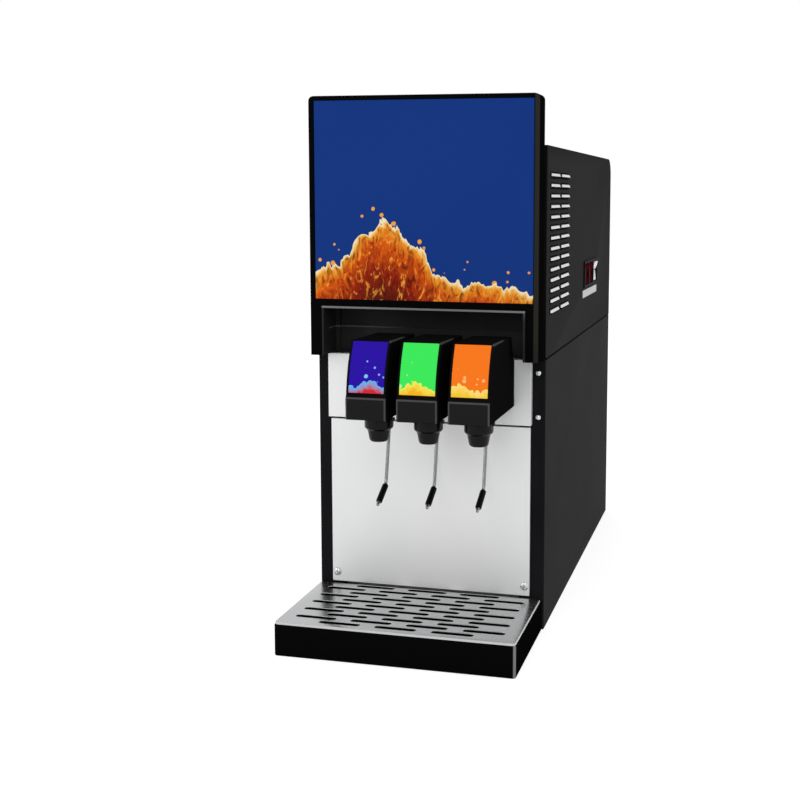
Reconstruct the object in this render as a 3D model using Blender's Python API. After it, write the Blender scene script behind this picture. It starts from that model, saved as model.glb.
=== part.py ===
"""Countertop soda fountain dispenser: lever valves under a lit head, a chilled cabinet and a drip tray.

Lengths are in metres, +Z is up and the counter is at z = 0. The front faces -Y. Places are written from
the middle of the cabinet's front face, and the parent empty then puts the origin under its middle.
"""

import math

import bmesh
import bpy
from mathutils import Matrix, Vector

for old in list(bpy.data.objects):
    bpy.data.objects.remove(old, do_unlink=True)

# Driving dimensions
CABINET_WIDTH = 0.300
CABINET_DEPTH = 0.590
SEAM_HEIGHT = 0.346
COVER_HEIGHT = 0.265
HEAD_SIDE_INSET = 0.0035
HEAD_RISE = 0.060
HEAD_THICKNESS = 0.0345
TRAY_REACH = 0.160
TRAY_HEIGHT = 0.0415
VALVE_PITCH = 0.062
VALVE_SIDE_ROOM = 0.0187
VALVE_COUNT = 3

# Sheet metal and clearances
SHEET = 0.0015
GAP = 0.0003
SEAM = 0.001
OVERRUN = 0.005
BEND = 0.002
BEND_STEPS = 3

# Places that follow from these and that many pieces share
HALF_WIDTH = CABINET_WIDTH / 2
CABINET_HEIGHT = SEAM_HEIGHT + COVER_HEIGHT
COVER_BOTTOM = SEAM_HEIGHT + SEAM
HEAD_WIDTH = CABINET_WIDTH - 2 * HEAD_SIDE_INSET
HEAD_BOTTOM = COVER_BOTTOM
HEAD_TOP = CABINET_HEIGHT + HEAD_RISE
HEAD_FRONT = -HEAD_THICKNESS

# Lower cabinet
COLUMN_WIDTH = 0.032
COLUMN_RETURN = 0.014
REAR_FLANGE = 0.014
PAN_RIM = 0.025

# Upper cover, louvres and the plate behind the head
COVER_CORNER = 0.028
COVER_CORNER_STEPS = 6
LOUVRE_ROWS = 14
LOUVRE_DROP = 0.030
LOUVRE_TOP = CABINET_HEIGHT - LOUVRE_DROP
LOUVRE_PITCH = 0.01315
LOUVRE_HEIGHT = 0.0072
LOUVRE_REACH = 0.0032
LOUVRE_LENGTH = 0.062
LOUVRE_FRONT = 0.019
LOUVRE_COLUMNS = 2
LOUVRE_COLUMN_GAP = 0.013
LOUVRE_TAPER = 0.004
LOUVRE_SKIN = 0.0009

# Light head and valve bay
HEAD_CORNER = 0.006
HEAD_WEB = 0.0064
BAY_SIDE = 0.0155
BAY_HALF_WIDTH = HEAD_WIDTH / 2 - BAY_SIDE
BAY_HEIGHT = 0.0635
BAY_ROOF = HEAD_BOTTOM + BAY_HEIGHT
BAY_BACK = 0.0165
BAY_LEDGE_DROP = 0.0305
BAY_LEDGE_HEIGHT = BAY_ROOF - BAY_LEDGE_DROP
BAY_LEDGE_DEPTH = 0.003
BAY_POST_WIDTH = 0.0055
BAY_POST_DEPTH = 0.006
BAY_LIP = 0.0025
BAY_HEM = 0.0026
SCREEN_SIDE_MARGIN = 0.0065
SCREEN_FOOT_MARGIN = 0.0082
SCREEN_TOP_MARGIN = 0.0055
SCREEN_HALF_WIDTH = HEAD_WIDTH / 2 - SCREEN_SIDE_MARGIN
SCREEN_BOTTOM = BAY_ROOF + SCREEN_FOOT_MARGIN
SCREEN_TOP = HEAD_TOP - SCREEN_TOP_MARGIN
SCREEN_INSET = 0.0008
SCREEN_THICKNESS = 0.003
SCREEN_LEDGE = 0.006
LIGHT_BOARD = 0.002

# Front panels
PANEL_WALL = 0.0012
VALVE_PANEL_SIDE_INSET = 0.0165
VALVE_PANEL_HALF_WIDTH = HALF_WIDTH - VALVE_PANEL_SIDE_INSET
VALVE_PANEL_DROP = 0.0822
VALVE_PANEL_BOTTOM = SEAM_HEIGHT - VALVE_PANEL_DROP
VALVE_PANEL_REACH = 0.009
VALVE_PANEL_SHELF = 0.0155
SPLASH_SIDE_INSET = 0.018
SPLASH_HALF_WIDTH = HALF_WIDTH - SPLASH_SIDE_INSET
SPLASH_REACH = 0.004
SPLASH_FOOT_CLEARANCE = 0.002
SPLASH_BOTTOM = TRAY_HEIGHT + SPLASH_FOOT_CLEARANCE
PANEL_JOINT = 0.0032

# Screws that show
SCREW_SHANK_RADIUS = 0.002
SCREW_SHANK = 0.009
SCREW_HOLE_CLEARANCE = 0.0005
SCREW_HOLE_RADIUS = SCREW_SHANK_RADIUS + SCREW_HOLE_CLEARANCE
COLUMN_SCREW_INSET = 0.009
COLUMN_SCREW_X = HALF_WIDTH - COLUMN_SCREW_INSET
COLUMN_SCREW_DROPS = (0.0165, 0.0725)
COLUMN_SCREW_HEIGHTS = tuple(SEAM_HEIGHT - drop for drop in COLUMN_SCREW_DROPS)
COLUMN_SCREW_RADIUS = 0.0036
COLUMN_SCREW_RISE = 0.0024
SPLASH_SCREW_INSET = 0.0065
SPLASH_SCREW_X = SPLASH_HALF_WIDTH - SPLASH_SCREW_INSET
SPLASH_SCREW_LIFT = 0.0125
SPLASH_SCREW_HEIGHT = SPLASH_BOTTOM + SPLASH_SCREW_LIFT
SPLASH_SCREW_RADIUS = 0.0052
SPLASH_SCREW_RISE = 0.0022

# Drip tray and grate
TRAY_SIDE_INSET = 0.002
TRAY_HALF_WIDTH = HALF_WIDTH - TRAY_SIDE_INSET
TRAY_BACK_GAP = 0.0006
TRAY_WALL = 0.008
TRAY_FLOOR = 0.003
GRATE_MARGIN = 0.0008
GRATE_HALF_WIDTH = TRAY_HALF_WIDTH - GRATE_MARGIN
GRATE_SCREW_CLEARANCE = 0.0005
GRATE_BACK_MARGIN = SPLASH_REACH + GAP + SPLASH_SCREW_RISE + GRATE_SCREW_CLEARANCE
GRATE_THICKNESS = 0.0015
GRATE_LIP = 0.0032
GRATE_PROUD = 0.0005
GRATE_TOP = TRAY_HEIGHT + GRATE_PROUD
TRAY_RIM = GRATE_TOP - GRATE_LIP - GAP
SLOTS_PER_ROW = (3, 4)
SLOT_LENGTH = 0.049
SLOT_WIDTH = 0.008
SLOT_SIDE_MARGIN = 0.01845
SLOT_PITCH = (2 * (GRATE_HALF_WIDTH - SLOT_SIDE_MARGIN) - SLOT_LENGTH) / (SLOTS_PER_ROW[1] - 1)
SLOT_ROWS = 11
SLOT_FIRST_ROW = 0.0135
SLOT_LAST_ROW = 0.0135
SLOT_ROW_PITCH = (TRAY_REACH - SLOT_FIRST_ROW - SLOT_LAST_ROW) / (SLOT_ROWS - 1)
SLOT_END_STEPS = 4

# Valves
VALVE_WIDTH = 0.049
VALVE_MIDDLE_X = BAY_HALF_WIDTH - VALVE_SIDE_ROOM - VALVE_WIDTH / 2 - VALVE_PITCH * (VALVE_COUNT - 1) / 2
VALVE_PLATE = 0.0024
VALVE_BACK = VALVE_PANEL_REACH + GAP + VALVE_PLATE + GAP
VALVE_DEPTH = 0.132
VALVE_FRONT = VALVE_BACK + VALVE_DEPTH
VALVE_DROP = 0.058
VALVE_BOTTOM = SEAM_HEIGHT - VALVE_DROP
VALVE_HEIGHT = 0.0915
VALVE_TOP = VALVE_BOTTOM + VALVE_HEIGHT
VALVE_BLOCK = 0.029
VALVE_BLOCK_TOP = VALVE_BOTTOM + VALVE_BLOCK
VALVE_FACE_STEP_BACK = 0.0025
VALVE_FACE_STEP_UP = 0.0015
VALVE_FACE_LEAN = 0.020
VALVE_FACE_FOOT = (VALVE_FRONT - VALVE_FACE_STEP_BACK, VALVE_BLOCK_TOP + VALVE_FACE_STEP_UP)
VALVE_FACE_HEAD = (VALVE_FACE_FOOT[0] - VALVE_FACE_LEAN, VALVE_TOP)
VALVE_FACE_BULGE = 0.0034
VALVE_FACE_STEPS = 10
VALVE_TOP_FALL = 0.002
VALVE_SHOULDER_RUN = 0.016
VALVE_SHOULDER_FALL = 0.035
VALVE_TOP_BACK = (VALVE_BACK + VALVE_SHOULDER_RUN, VALVE_TOP - VALVE_TOP_FALL)
VALVE_SHOULDER_BACK = (VALVE_BACK, VALVE_TOP_BACK[1] - VALVE_SHOULDER_FALL)
COVER_WALL = 0.002
LABEL_SIDE_MARGIN = 0.003
LABEL_HALF_WIDTH = VALVE_WIDTH / 2 - LABEL_SIDE_MARGIN
LABEL_RECESS = 0.0013
LABEL_THICKNESS = 0.001
LABEL_END_SHARE = 0.02
BODY_SETBACK = 0.016
BODY_FRONT = VALVE_FRONT - BODY_SETBACK
BODY_TOP_ROOM = 0.0195
BODY_TOP = VALVE_TOP - BODY_TOP_ROOM
BODY_SIDE_GAP = 0.0004
BODY_SILL = 0.0005
VALVE_PLATE_DROP = 0.0295
VALVE_PLATE_TOP = VALVE_TOP - VALVE_PLATE_DROP

# Nozzles
NOZZLE_BACK_FROM_FRONT = 0.050
NOZZLE_Y = NOZZLE_BACK_FROM_FRONT - VALVE_FRONT
NOZZLE_COLLAR_RADIUS = 0.0155
NOZZLE_RING_STEP = 0.002
NOZZLE_RING_RADIUS = NOZZLE_COLLAR_RADIUS + NOZZLE_RING_STEP
NOZZLE_LIP_RADIUS = 0.0118
NOZZLE_COLLAR = 0.005
NOZZLE_RING = 0.009
NOZZLE_TAPER = 0.017
NOZZLE_LIP = 0.004
NOZZLE_WALL = 0.0043
NOZZLE_BORE_RADIUS = NOZZLE_LIP_RADIUS - NOZZLE_WALL
NOZZLE_BORE_DEPTH = 0.006
NOZZLE_LUG_STEP = 0.002
NOZZLE_LUG_REACH = NOZZLE_RING_RADIUS + NOZZLE_LUG_STEP
NOZZLE_LUG_HALF_WIDTH = 0.003
NOZZLE_LUG_HEIGHT = 0.004

# Levers
SHAFT_CLEARANCE = 0.0004
LEVER_PIVOT_RUN = 0.036
LEVER_PIVOT_BACK = VALVE_BACK + LEVER_PIVOT_RUN
LEVER_PIVOT_RISE = 0.0085
LEVER_PIVOT_HEIGHT = VALVE_BOTTOM + LEVER_PIVOT_RISE
LEVER_ROD_RADIUS = 0.0021
LEVER_ELBOW = (-0.0210, -0.1020)
LEVER_TIP = (-0.0520, -0.1193)
LEVER_BALL_STEP = 0.0005
LEVER_BALL_RADIUS = LEVER_ROD_RADIUS + LEVER_BALL_STEP
LEVER_SIDES = 10
LEVER_BEND_SHARE = 0.07
GRIP_WALL = 0.0014
GRIP_RADIUS = LEVER_ROD_RADIUS + GAP + GRIP_WALL
GRIP_LENGTH = 0.028
GRIP_FROM_ELBOW = 0.0025
GRIP_EDGE = 0.0006
HUB_RADIUS = 0.0036
HUB_WIDTH = 0.0074
HUB_SLOT_WIDTH = HUB_WIDTH + 2 * SHAFT_CLEARANCE
HUB_FRONT_ROOM = 0.0064
HUB_BACK_ROOM = 0.0054
HUB_TOP_ROOM = 0.0024
TRUNNION_RADIUS = 0.002
TRUNNION_LENGTH = 0.0132
TRUNNION_BORE_LENGTH = TRUNNION_LENGTH + 2 * SHAFT_CLEARANCE

# Switch bank, rockers and the plate below them
SWITCH_COUNT = 3
SWITCH_FROM_BACK = 0.226
SWITCH_LIFT = 0.087
SWITCH_MIDDLE = (CABINET_DEPTH - SWITCH_FROM_BACK, SEAM_HEIGHT + SWITCH_LIFT)
SWITCH_PITCH = 0.042
SWITCH_END_MARGIN = 0.003
SWITCH_FLANGE_HEIGHT = 0.040
SWITCH_HALF_Y = SWITCH_COUNT * SWITCH_PITCH / 2 + SWITCH_END_MARGIN
SWITCH_HALF_Z = SWITCH_FLANGE_HEIGHT / 2
SWITCH_FLANGE_THICKNESS = 0.0018
SWITCH_HOUSING_MARGIN = 0.003
SWITCH_HOUSING_DEPTH = 0.022
SWITCH_POCKET_MARGIN = 0.00425
SWITCH_POCKET = (SWITCH_PITCH - 2 * SWITCH_POCKET_MARGIN, SWITCH_FLANGE_HEIGHT - 2 * SWITCH_POCKET_MARGIN)
SWITCH_POCKET_DEPTH = 0.011
ROCKER_SIDE_GAP = 0.0006
ROCKER_END_GAP = 0.0012
ROCKER_RISE = 0.0022
ROCKER_DISH = 0.0028
ROCKER_BODY_DEPTH = 0.0045
ROCKER_PIVOT_DEPTH = 0.002
ROCKER_TILT = math.radians(6)
SWITCH_PLATE = (0.138, 0.011)
SWITCH_PLATE_GAP = 0.003
SWITCH_PLATE_SHIFT = 0.007
SWITCH_PLATE_HEIGHT = SWITCH_MIDDLE[1] - SWITCH_HALF_Z - SWITCH_PLATE_GAP - SWITCH_PLATE[1] / 2
SWITCH_PLATE_MIDDLE = SWITCH_MIDDLE[0] - SWITCH_PLATE_SHIFT
SWITCH_PLATE_THICKNESS = 0.0008

# Water bath, coil and agitator
BATH_SIDE_CLEARANCE = 0.0045
BATH_END_CLEARANCE = 0.020
BATH_WALL = 0.012
BATH_TOP_DROP = 0.028
BATH_TOP = SEAM_HEIGHT - BATH_TOP_DROP
BATH_HALF_WIDTH = HALF_WIDTH - SHEET - BATH_SIDE_CLEARANCE
COIL_TUBE_RADIUS = 0.005
COIL_SIDE_CLEARANCE = 0.037
COIL_END_CLEARANCE = 0.058
COIL_HALF_SIZE = (
    BATH_HALF_WIDTH - BATH_WALL - COIL_SIDE_CLEARANCE,
    CABINET_DEPTH / 2 - BATH_END_CLEARANCE - BATH_WALL - COIL_END_CLEARANCE,
)
COIL_CORNER = 0.040
COIL_TURNS = 3
COIL_BOTTOM = 0.130
COIL_TOP_CLEARANCE = 0.068
COIL_PITCH = (BATH_TOP - COIL_TOP_CLEARANCE - COIL_BOTTOM) / COIL_TURNS
COIL_CORNER_STEPS = 3
AGITATOR_WIDTH_SHARE = 0.1
AGITATOR_FROM_MIDDLE = 0.025
AGITATOR_PLACE = (CABINET_WIDTH * AGITATOR_WIDTH_SHARE, CABINET_DEPTH / 2 - AGITATOR_FROM_MIDDLE)
AGITATOR_DROP = 0.158
AGITATOR_DEPTH = BATH_TOP - AGITATOR_DROP
AGITATOR_SHAFT_RADIUS = 0.004
AGITATOR_BLADES = 3
AGITATOR_BLADE_LENGTH = 0.028
AGITATOR_BLADE_WIDTH = 0.0125
AGITATOR_HUB = (0.009, 0.016)
AGITATOR_SHAFT_RISE = 0.012
AGITATOR_BLADE_PITCH = math.radians(35)
DECK_HOLE_CLEARANCE = 0.004
DECK_HOLE_RADIUS = AGITATOR_SHAFT_RADIUS + DECK_HOLE_CLEARANCE

# Refrigeration deck and what stands on it
DECK_SHEET = 0.002
DECK_SIDE_CLEARANCE = 0.0022
DECK_END_CLEARANCE = 0.018
DECK_TOP = BATH_TOP + GAP + DECK_SHEET
STANDING = DECK_TOP + GAP
CONDENSER_SIDE_CLEARANCE = 0.009
CONDENSER_DEPTH = 0.024
CONDENSER_FRONT = 0.020
CONDENSER_LENGTH = 0.138
CONDENSER_TOP_CLEARANCE = 0.025
CONDENSER_HIGH = (HALF_WIDTH - CONDENSER_SIDE_CLEARANCE, CONDENSER_FRONT + CONDENSER_LENGTH)
CONDENSER_LOW = (CONDENSER_HIGH[0] - CONDENSER_DEPTH, CONDENSER_FRONT)
CONDENSER_TOP = CABINET_HEIGHT - CONDENSER_TOP_CLEARANCE
CONDENSER_FINS = 12
CONDENSER_FIN_THICKNESS = 0.0022
CONDENSER_CORE_SHARE = 0.45
SHROUD_THICKNESS = 0.008
SHROUD_CLEARANCE = 0.0006
SHROUD_RIM = 0.004
FAN_RISE = 0.1514
FAN_HEIGHT = STANDING + FAN_RISE
FAN_TIP_CLEARANCE = 0.003
FAN_RADIUS = CONDENSER_LENGTH / 2 - SHROUD_RIM - FAN_TIP_CLEARANCE
FAN_BLADES = 5
FAN_HUB = (0.018, 0.018)
FAN_BLADE_CHORD = 0.030
BLADE_THICKNESS = 0.0015
FAN_BLADE_PITCH = math.radians(28)
FAN_SHAFT_RADIUS = 0.004
FAN_SHAFT_LENGTH = 0.016
FAN_MOTOR_RADIUS = 0.030
FAN_MOTOR_LENGTH = 0.038
FAN_MOTOR_CLEARANCE = 0.004
FAN_MOTOR_FOOT = (0.024, 0.034)
CARBONATOR_RADIUS = 0.042
CARBONATOR_HEIGHT = 0.235
CARBONATOR_DOME = 0.018
CARBONATOR_SIDE_CLEARANCE = 0.020
CARBONATOR_BACK_CLEARANCE = 0.030
CARBONATOR_PLACE = (
    HALF_WIDTH - CARBONATOR_SIDE_CLEARANCE - CARBONATOR_RADIUS,
    CABINET_DEPTH - CARBONATOR_BACK_CLEARANCE - CARBONATOR_RADIUS,
)
COMPRESSOR_SIDE_CLEARANCE = 0.0175
COMPRESSOR_BACK_CLEARANCE = 0.060
COMPRESSOR_TANK_GAP = 0.0135
COMPRESSOR_BASE_WIDTH = (
    CARBONATOR_PLACE[0] - CARBONATOR_RADIUS - COMPRESSOR_TANK_GAP + HALF_WIDTH - COMPRESSOR_SIDE_CLEARANCE
)
COMPRESSOR_BASE_SIDE = 0.0125
COMPRESSOR_BASE_END = 0.005
COMPRESSOR_RADIUS = COMPRESSOR_BASE_WIDTH / 2 - COMPRESSOR_BASE_SIDE
COMPRESSOR_BASE = (COMPRESSOR_BASE_WIDTH, 2 * (COMPRESSOR_RADIUS + COMPRESSOR_BASE_END))
COMPRESSOR_PLACE = (
    COMPRESSOR_SIDE_CLEARANCE + COMPRESSOR_BASE[0] / 2 - HALF_WIDTH,
    CABINET_DEPTH - COMPRESSOR_BACK_CLEARANCE - COMPRESSOR_BASE[1] / 2,
)
COMPRESSOR_HEIGHT = 0.165
COMPRESSOR_BASE_THICKNESS = 0.006
COMPRESSOR_LEG = 0.010
COMPRESSOR_LEG_RADIUS = 0.005
COMPRESSOR_STUD = 0.010
PUMP_SIDE_CLEARANCE = 0.021
PUMP_MOTOR_RADIUS = 0.044
PUMP_MOTOR_LENGTH = 0.130
PUMP_BACK_CLEARANCE = 0.080
PUMP_PLACE = (
    PUMP_SIDE_CLEARANCE + PUMP_MOTOR_RADIUS - HALF_WIDTH,
    COMPRESSOR_PLACE[1] - COMPRESSOR_BASE[1] / 2 - PUMP_BACK_CLEARANCE - PUMP_MOTOR_LENGTH / 2,
)
PUMP_HEAD_RADIUS = 0.024
PUMP_HEAD_LENGTH = 0.040
PUMP_FOOT = (0.060, 0.080)
PUMP_FOOT_RISE = 0.012
AGITATOR_MOTOR_RADIUS = 0.034
AGITATOR_MOTOR_HEIGHT = 0.058
CONTROL_BOX_SETBACK = 0.006
CONTROL_BOX_FRONT_STEP = 0.004
CONTROL_BOX_SIDE_CLEARANCE = 0.026
CONTROL_BOX_TANK_GAP = 0.024
CONTROL_BOX_LOW = (
    AGITATOR_PLACE[0] + AGITATOR_MOTOR_RADIUS - CONTROL_BOX_SETBACK,
    AGITATOR_PLACE[1] + AGITATOR_MOTOR_RADIUS - CONTROL_BOX_FRONT_STEP,
)
CONTROL_BOX_HIGH = (
    HALF_WIDTH - CONTROL_BOX_SIDE_CLEARANCE,
    CARBONATOR_PLACE[1] - CARBONATOR_RADIUS - CONTROL_BOX_TANK_GAP,
)
CONTROL_BOX_HEIGHT = 0.1614
SHELL_BEVEL = 0.003

# Inlets at the back
INLET_NAMES = ("water_inlet", "gas_inlet", "syrup_inlet_1", "syrup_inlet_2", "syrup_inlet_3")
INLET_HEIGHT = 0.085
INLET_LEFT_MARGIN = 0.055
INLET_RIGHT_MARGIN = 0.065
INLET_PITCH = (CABINET_WIDTH - INLET_LEFT_MARGIN - INLET_RIGHT_MARGIN) / (len(INLET_NAMES) - 1)
INLET_XS = {name: INLET_LEFT_MARGIN - HALF_WIDTH + k * INLET_PITCH for k, name in enumerate(INLET_NAMES)}
BARB_RADIUS = 0.0048
BARB_RIDGE = 0.0014
BARB_PITCH = 0.0055
BARB_COUNT = 3
INLET_NUT_RADIUS = 0.0100
INLET_NUT = 0.006
INLET_STUB_RADIUS = 0.007
INLET_STUB = 0.011
POWER_INLET_SIDE_MARGIN = 0.055
POWER_INLET_DROP = 0.146
POWER_INLET_PLACE = (HALF_WIDTH - POWER_INLET_SIDE_MARGIN, SEAM_HEIGHT - POWER_INLET_DROP)
POWER_INLET_SIZE = (0.050, 0.030)
POWER_INLET_RIM = 0.003
POWER_INLET_BODY_MARGIN = 0.003
POWER_INLET_RECESS_MARGINS = (0.007, 0.006)
POWER_INLET_RECESS = 0.010
POWER_INLET_DEPTH = 0.013

# Facets of round pieces
ROUND = 24
SMALL_ROUND = 12
LARGE_ROUND = 28
DOME_STEPS = 4

MACHINE = bpy.data.objects.new("machine", None)
bpy.context.collection.objects.link(MACHINE)
MACHINE.location = (0, -CABINET_DEPTH / 2, 0)


def finish(name, colour, roughness, metallic=0.0):
    """A Principled material from an sRGB hex colour."""
    channels = [int(colour[k : k + 2], 16) / 255 for k in (0, 2, 4)]
    linear = [c / 12.92 if c <= 0.04045 else ((c + 0.055) / 1.055) ** 2.4 for c in channels]
    mat = bpy.data.materials.new(name)
    mat.use_nodes = True
    shader = mat.node_tree.nodes["Principled BSDF"]
    shader.inputs["Base Color"].default_value = (*linear, 1)
    shader.inputs["Roughness"].default_value = roughness
    shader.inputs["Metallic"].default_value = metallic
    mat.diffuse_color = (*linear, 1)
    return mat


BLACK_STEEL = finish("black_painted_steel", "1c1c1d", 0.35)
HEAD_BLACK = finish("head_black", "141414", 0.40)
BRIGHT_STEEL = finish("bright_stainless", "dcdedf", 0.22, 1.0)
GRATE_STEEL = finish("polished_stainless", "c9cbcc", 0.12, 1.0)
PLATED_STEEL = finish("plated_steel", "b4b6b8", 0.35, 1.0)
SCREEN_BLUE = finish("lit_blue_screen", "12367e", 0.25)
BOARD_WHITE = finish("light_board_white", "e8e8e4", 0.50)
VALVE_BLACK = finish("valve_black_plastic", "1d1d1d", 0.38)
BODY_GREY = finish("valve_body_grey", "2b2b2c", 0.50)
LABELS = (
    finish("violet_label", "2a0fa0", 0.30),
    finish("green_label", "3fe85a", 0.30),
    finish("orange_label", "f77f1b", 0.30),
)
RUBBER = finish("black_rubber", "101010", 0.70)
SWITCH_BLACK = finish("switch_black_plastic", "0e0e0e", 0.40)
ROCKERS = (
    finish("rocker_red_1", "4a1015", 0.35),
    finish("rocker_red_2", "4a1015", 0.35),
    finish("rocker_white", "eeeeec", 0.35),
)
PLATE_GREY = finish("plain_plate_grey", "b9bab8", 0.45)
TRAY_BLACK = finish("tray_black", "0e0e0e", 0.40)
FOAM = finish("bath_shell_grey", "c8c8c2", 0.70)
COPPER = finish("coil_copper", "b0673d", 0.35, 1.0)
MOTOR_BLACK = finish("compressor_black", "17181a", 0.45)
MOTOR_SILVER = finish("motor_silver", "9a9c9e", 0.45, 1.0)
FIN_ALUMINIUM = finish("fin_aluminium", "d2d4d5", 0.40, 1.0)
FAN_GREY = finish("fan_grey_plastic", "55575a", 0.50)
BRASS = finish("inlet_brass", "b98f45", 0.35, 1.0)
TANK_STEEL = finish("tank_stainless", "c4c6c8", 0.28, 1.0)
CONTROL_GREY = finish("control_box_grey", "7d8083", 0.50)


# Solids from outlines, boxes and turned profiles
def link(name, mesh, place=(0, 0, 0)):
    obj = bpy.data.objects.new(name, mesh)
    bpy.context.collection.objects.link(obj)
    obj.location = place
    obj.parent = MACHINE
    return obj


def solid(name, bm, mat=None, place=(0, 0, 0)):
    bmesh.ops.recalc_face_normals(bm, faces=bm.faces)
    mesh = bpy.data.meshes.new(name)
    bm.to_mesh(mesh)
    bm.free()
    if mat:
        mesh.materials.append(mat)
    return link(name, mesh, place)


def lifted(axis, a, b, level):
    """The 3-D point over (a, b) in the plane square to the axis."""
    return {"X": (level, a, b), "Y": (a, level, b), "Z": (a, b, level)}[axis]


def box(name, low, high, mat=None):
    low, high = Vector(low), Vector(high)
    bm = bmesh.new()
    bmesh.ops.create_cube(bm, size=1, matrix=Matrix.Diagonal((*(high - low), 1)))
    return solid(name, bm, mat, (low + high) / 2)


def prism(name, axis, outline, start, end, mat=None, holes=(), place=(0, 0, 0)):
    """An outline with holes, swept along the axis from start to end."""
    bm = bmesh.new()
    edges = []
    for loop in (outline, *holes):
        ring = [bm.verts.new(lifted(axis, a, b, start)) for a, b in loop]
        edges += [bm.edges.new(pair) for pair in zip(ring, ring[1:] + ring[:1])]
    filled = bmesh.ops.triangle_fill(bm, use_beauty=True, edges=edges)
    faces = [g for g in filled["geom"] if isinstance(g, bmesh.types.BMFace)]
    swept = bmesh.ops.extrude_face_region(bm, geom=faces)
    moved = [g for g in swept["geom"] if isinstance(g, bmesh.types.BMVert)]
    bmesh.ops.translate(bm, verts=moved, vec=lifted(axis, 0, 0, end - start))
    return solid(name, bm, mat, place)


def turned(name, profile, mat=None, place=(0, 0, 0), axis="Z", sides=ROUND, ring=False):
    """A profile of (radius, height) points turned round the axis; a ring's profile closes on itself."""
    turn = Matrix()
    if axis == "X":
        turn = Matrix.Rotation(math.pi / 2, 4, "Y")
    if axis == "Y":
        turn = Matrix.Rotation(-math.pi / 2, 4, "X")
    bm = bmesh.new()
    rings = []
    for radius, height in profile:
        angles = [2 * math.pi * k / sides for k in range(sides)] if radius else [0]
        points = [Vector((radius * math.cos(a), radius * math.sin(a), height)) for a in angles]
        rings.append([bm.verts.new(turn @ point) for point in points])
    pairs = list(zip(rings, rings[1:] + rings[:1])) if ring else list(zip(rings, rings[1:]))
    for low, high in pairs:
        for k in range(sides):
            below = [low[k % len(low)], low[(k + 1) % len(low)]]
            above = [high[(k + 1) % len(high)], high[k % len(high)]]
            face = list(dict.fromkeys(below + above))
            if len(face) > 2:
                bm.faces.new(face)
    if not ring:
        for end in (rings[0], rings[-1]):
            if len(end) > 1:
                bm.faces.new(end)
    return solid(name, bm, mat, place)


def shaped(target, cutters, operation="DIFFERENCE"):
    """The target with its cutters taken away or added, as one plain mesh."""
    for cutter in cutters:
        step = target.modifiers.new(cutter.name, "BOOLEAN")
        step.object = cutter
        step.operation = operation
        step.solver = "EXACT"
    graph = bpy.context.evaluated_depsgraph_get()
    mesh = bpy.data.meshes.new_from_object(target.evaluated_get(graph))
    target.modifiers.clear()
    target.data = mesh
    for cutter in cutters:
        bpy.data.objects.remove(cutter, do_unlink=True)
    return target


def smoothed(obj, angle=math.radians(40)):
    obj.data.shade_smooth()
    obj.data.set_sharp_from_angle(angle=angle)
    return obj


# Outlines
def mirrored(outline):
    return [(-a, b) for a, b in outline]


def quarter(radius, rise):
    """A dome's profile from its rim to its pole."""
    angles = [math.pi / 2 * k / DOME_STEPS for k in range(DOME_STEPS)]
    return [(radius * math.cos(a), rise * math.sin(a)) for a in angles] + [(0, rise)]


def rectangle(low, high):
    return [(low[0], low[1]), (high[0], low[1]), (high[0], high[1]), (low[0], high[1])]


def circle(centre, radius, sides):
    angles = [2 * math.pi * k / sides for k in range(sides)]
    return [(centre[0] + radius * math.cos(a), centre[1] + radius * math.sin(a)) for a in angles]


def stadium(centre, length, width):
    """A slot with round ends along the first direction."""
    points = []
    for side in (1, -1):
        for k in range(SLOT_END_STEPS + 1):
            a = math.pi * (k / SLOT_END_STEPS - 0.5)
            reach = (length - width) / 2 + width / 2 * math.cos(a)
            points.append((centre[0] + side * reach, centre[1] + side * width / 2 * math.sin(a)))
    return points


def arc(centre, start, end, radius, steps):
    """Points round the centre from one direction to another, the short way."""
    first = math.atan2(start.y, start.x)
    turn = math.atan2(start.x * end.y - start.y * end.x, start.dot(end))
    angles = [first + turn * k / steps for k in range(steps + 1)]
    return [(centre.x + radius * math.cos(a), centre.y + radius * math.sin(a)) for a in angles]


def filleted(path, radius, steps):
    """An open path with its inner corners rounded."""
    points = [path[0]]
    for before, corner, after in zip(path, path[1:], path[2:]):
        corner = Vector(corner)
        inward, outward = (Vector(before) - corner).normalized(), (Vector(after) - corner).normalized()
        half = inward.angle(outward) / 2
        reach = radius / math.tan(half)
        centre = corner + (inward + outward).normalized() * radius / math.sin(half)
        start, end = corner + inward * reach - centre, corner + outward * reach - centre
        points += arc(centre, start, end, radius, steps)
    return [*points, path[-1]]


def offset(path, distance):
    """An open path moved to its left by the distance, with mitred corners."""
    points = [Vector(p) for p in path]
    ways = [(b - a).normalized() for a, b in zip(points, points[1:])]
    lefts = [Vector((-w.y, w.x)) for w in ways]
    moved = []
    for k, point in enumerate(points):
        before, after = lefts[max(k - 1, 0)], lefts[min(k, len(lefts) - 1)]
        mitre = (before + after).normalized()
        moved.append(tuple(point + mitre * distance / mitre.dot(after)))
    return moved


def folded(path, thickness, radius):
    """The section of a sheet folded along a path, its thickness to the path's left."""
    outer = filleted(path, radius, BEND_STEPS) if radius else path
    return list(outer) + list(reversed(offset(outer, thickness)))


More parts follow.
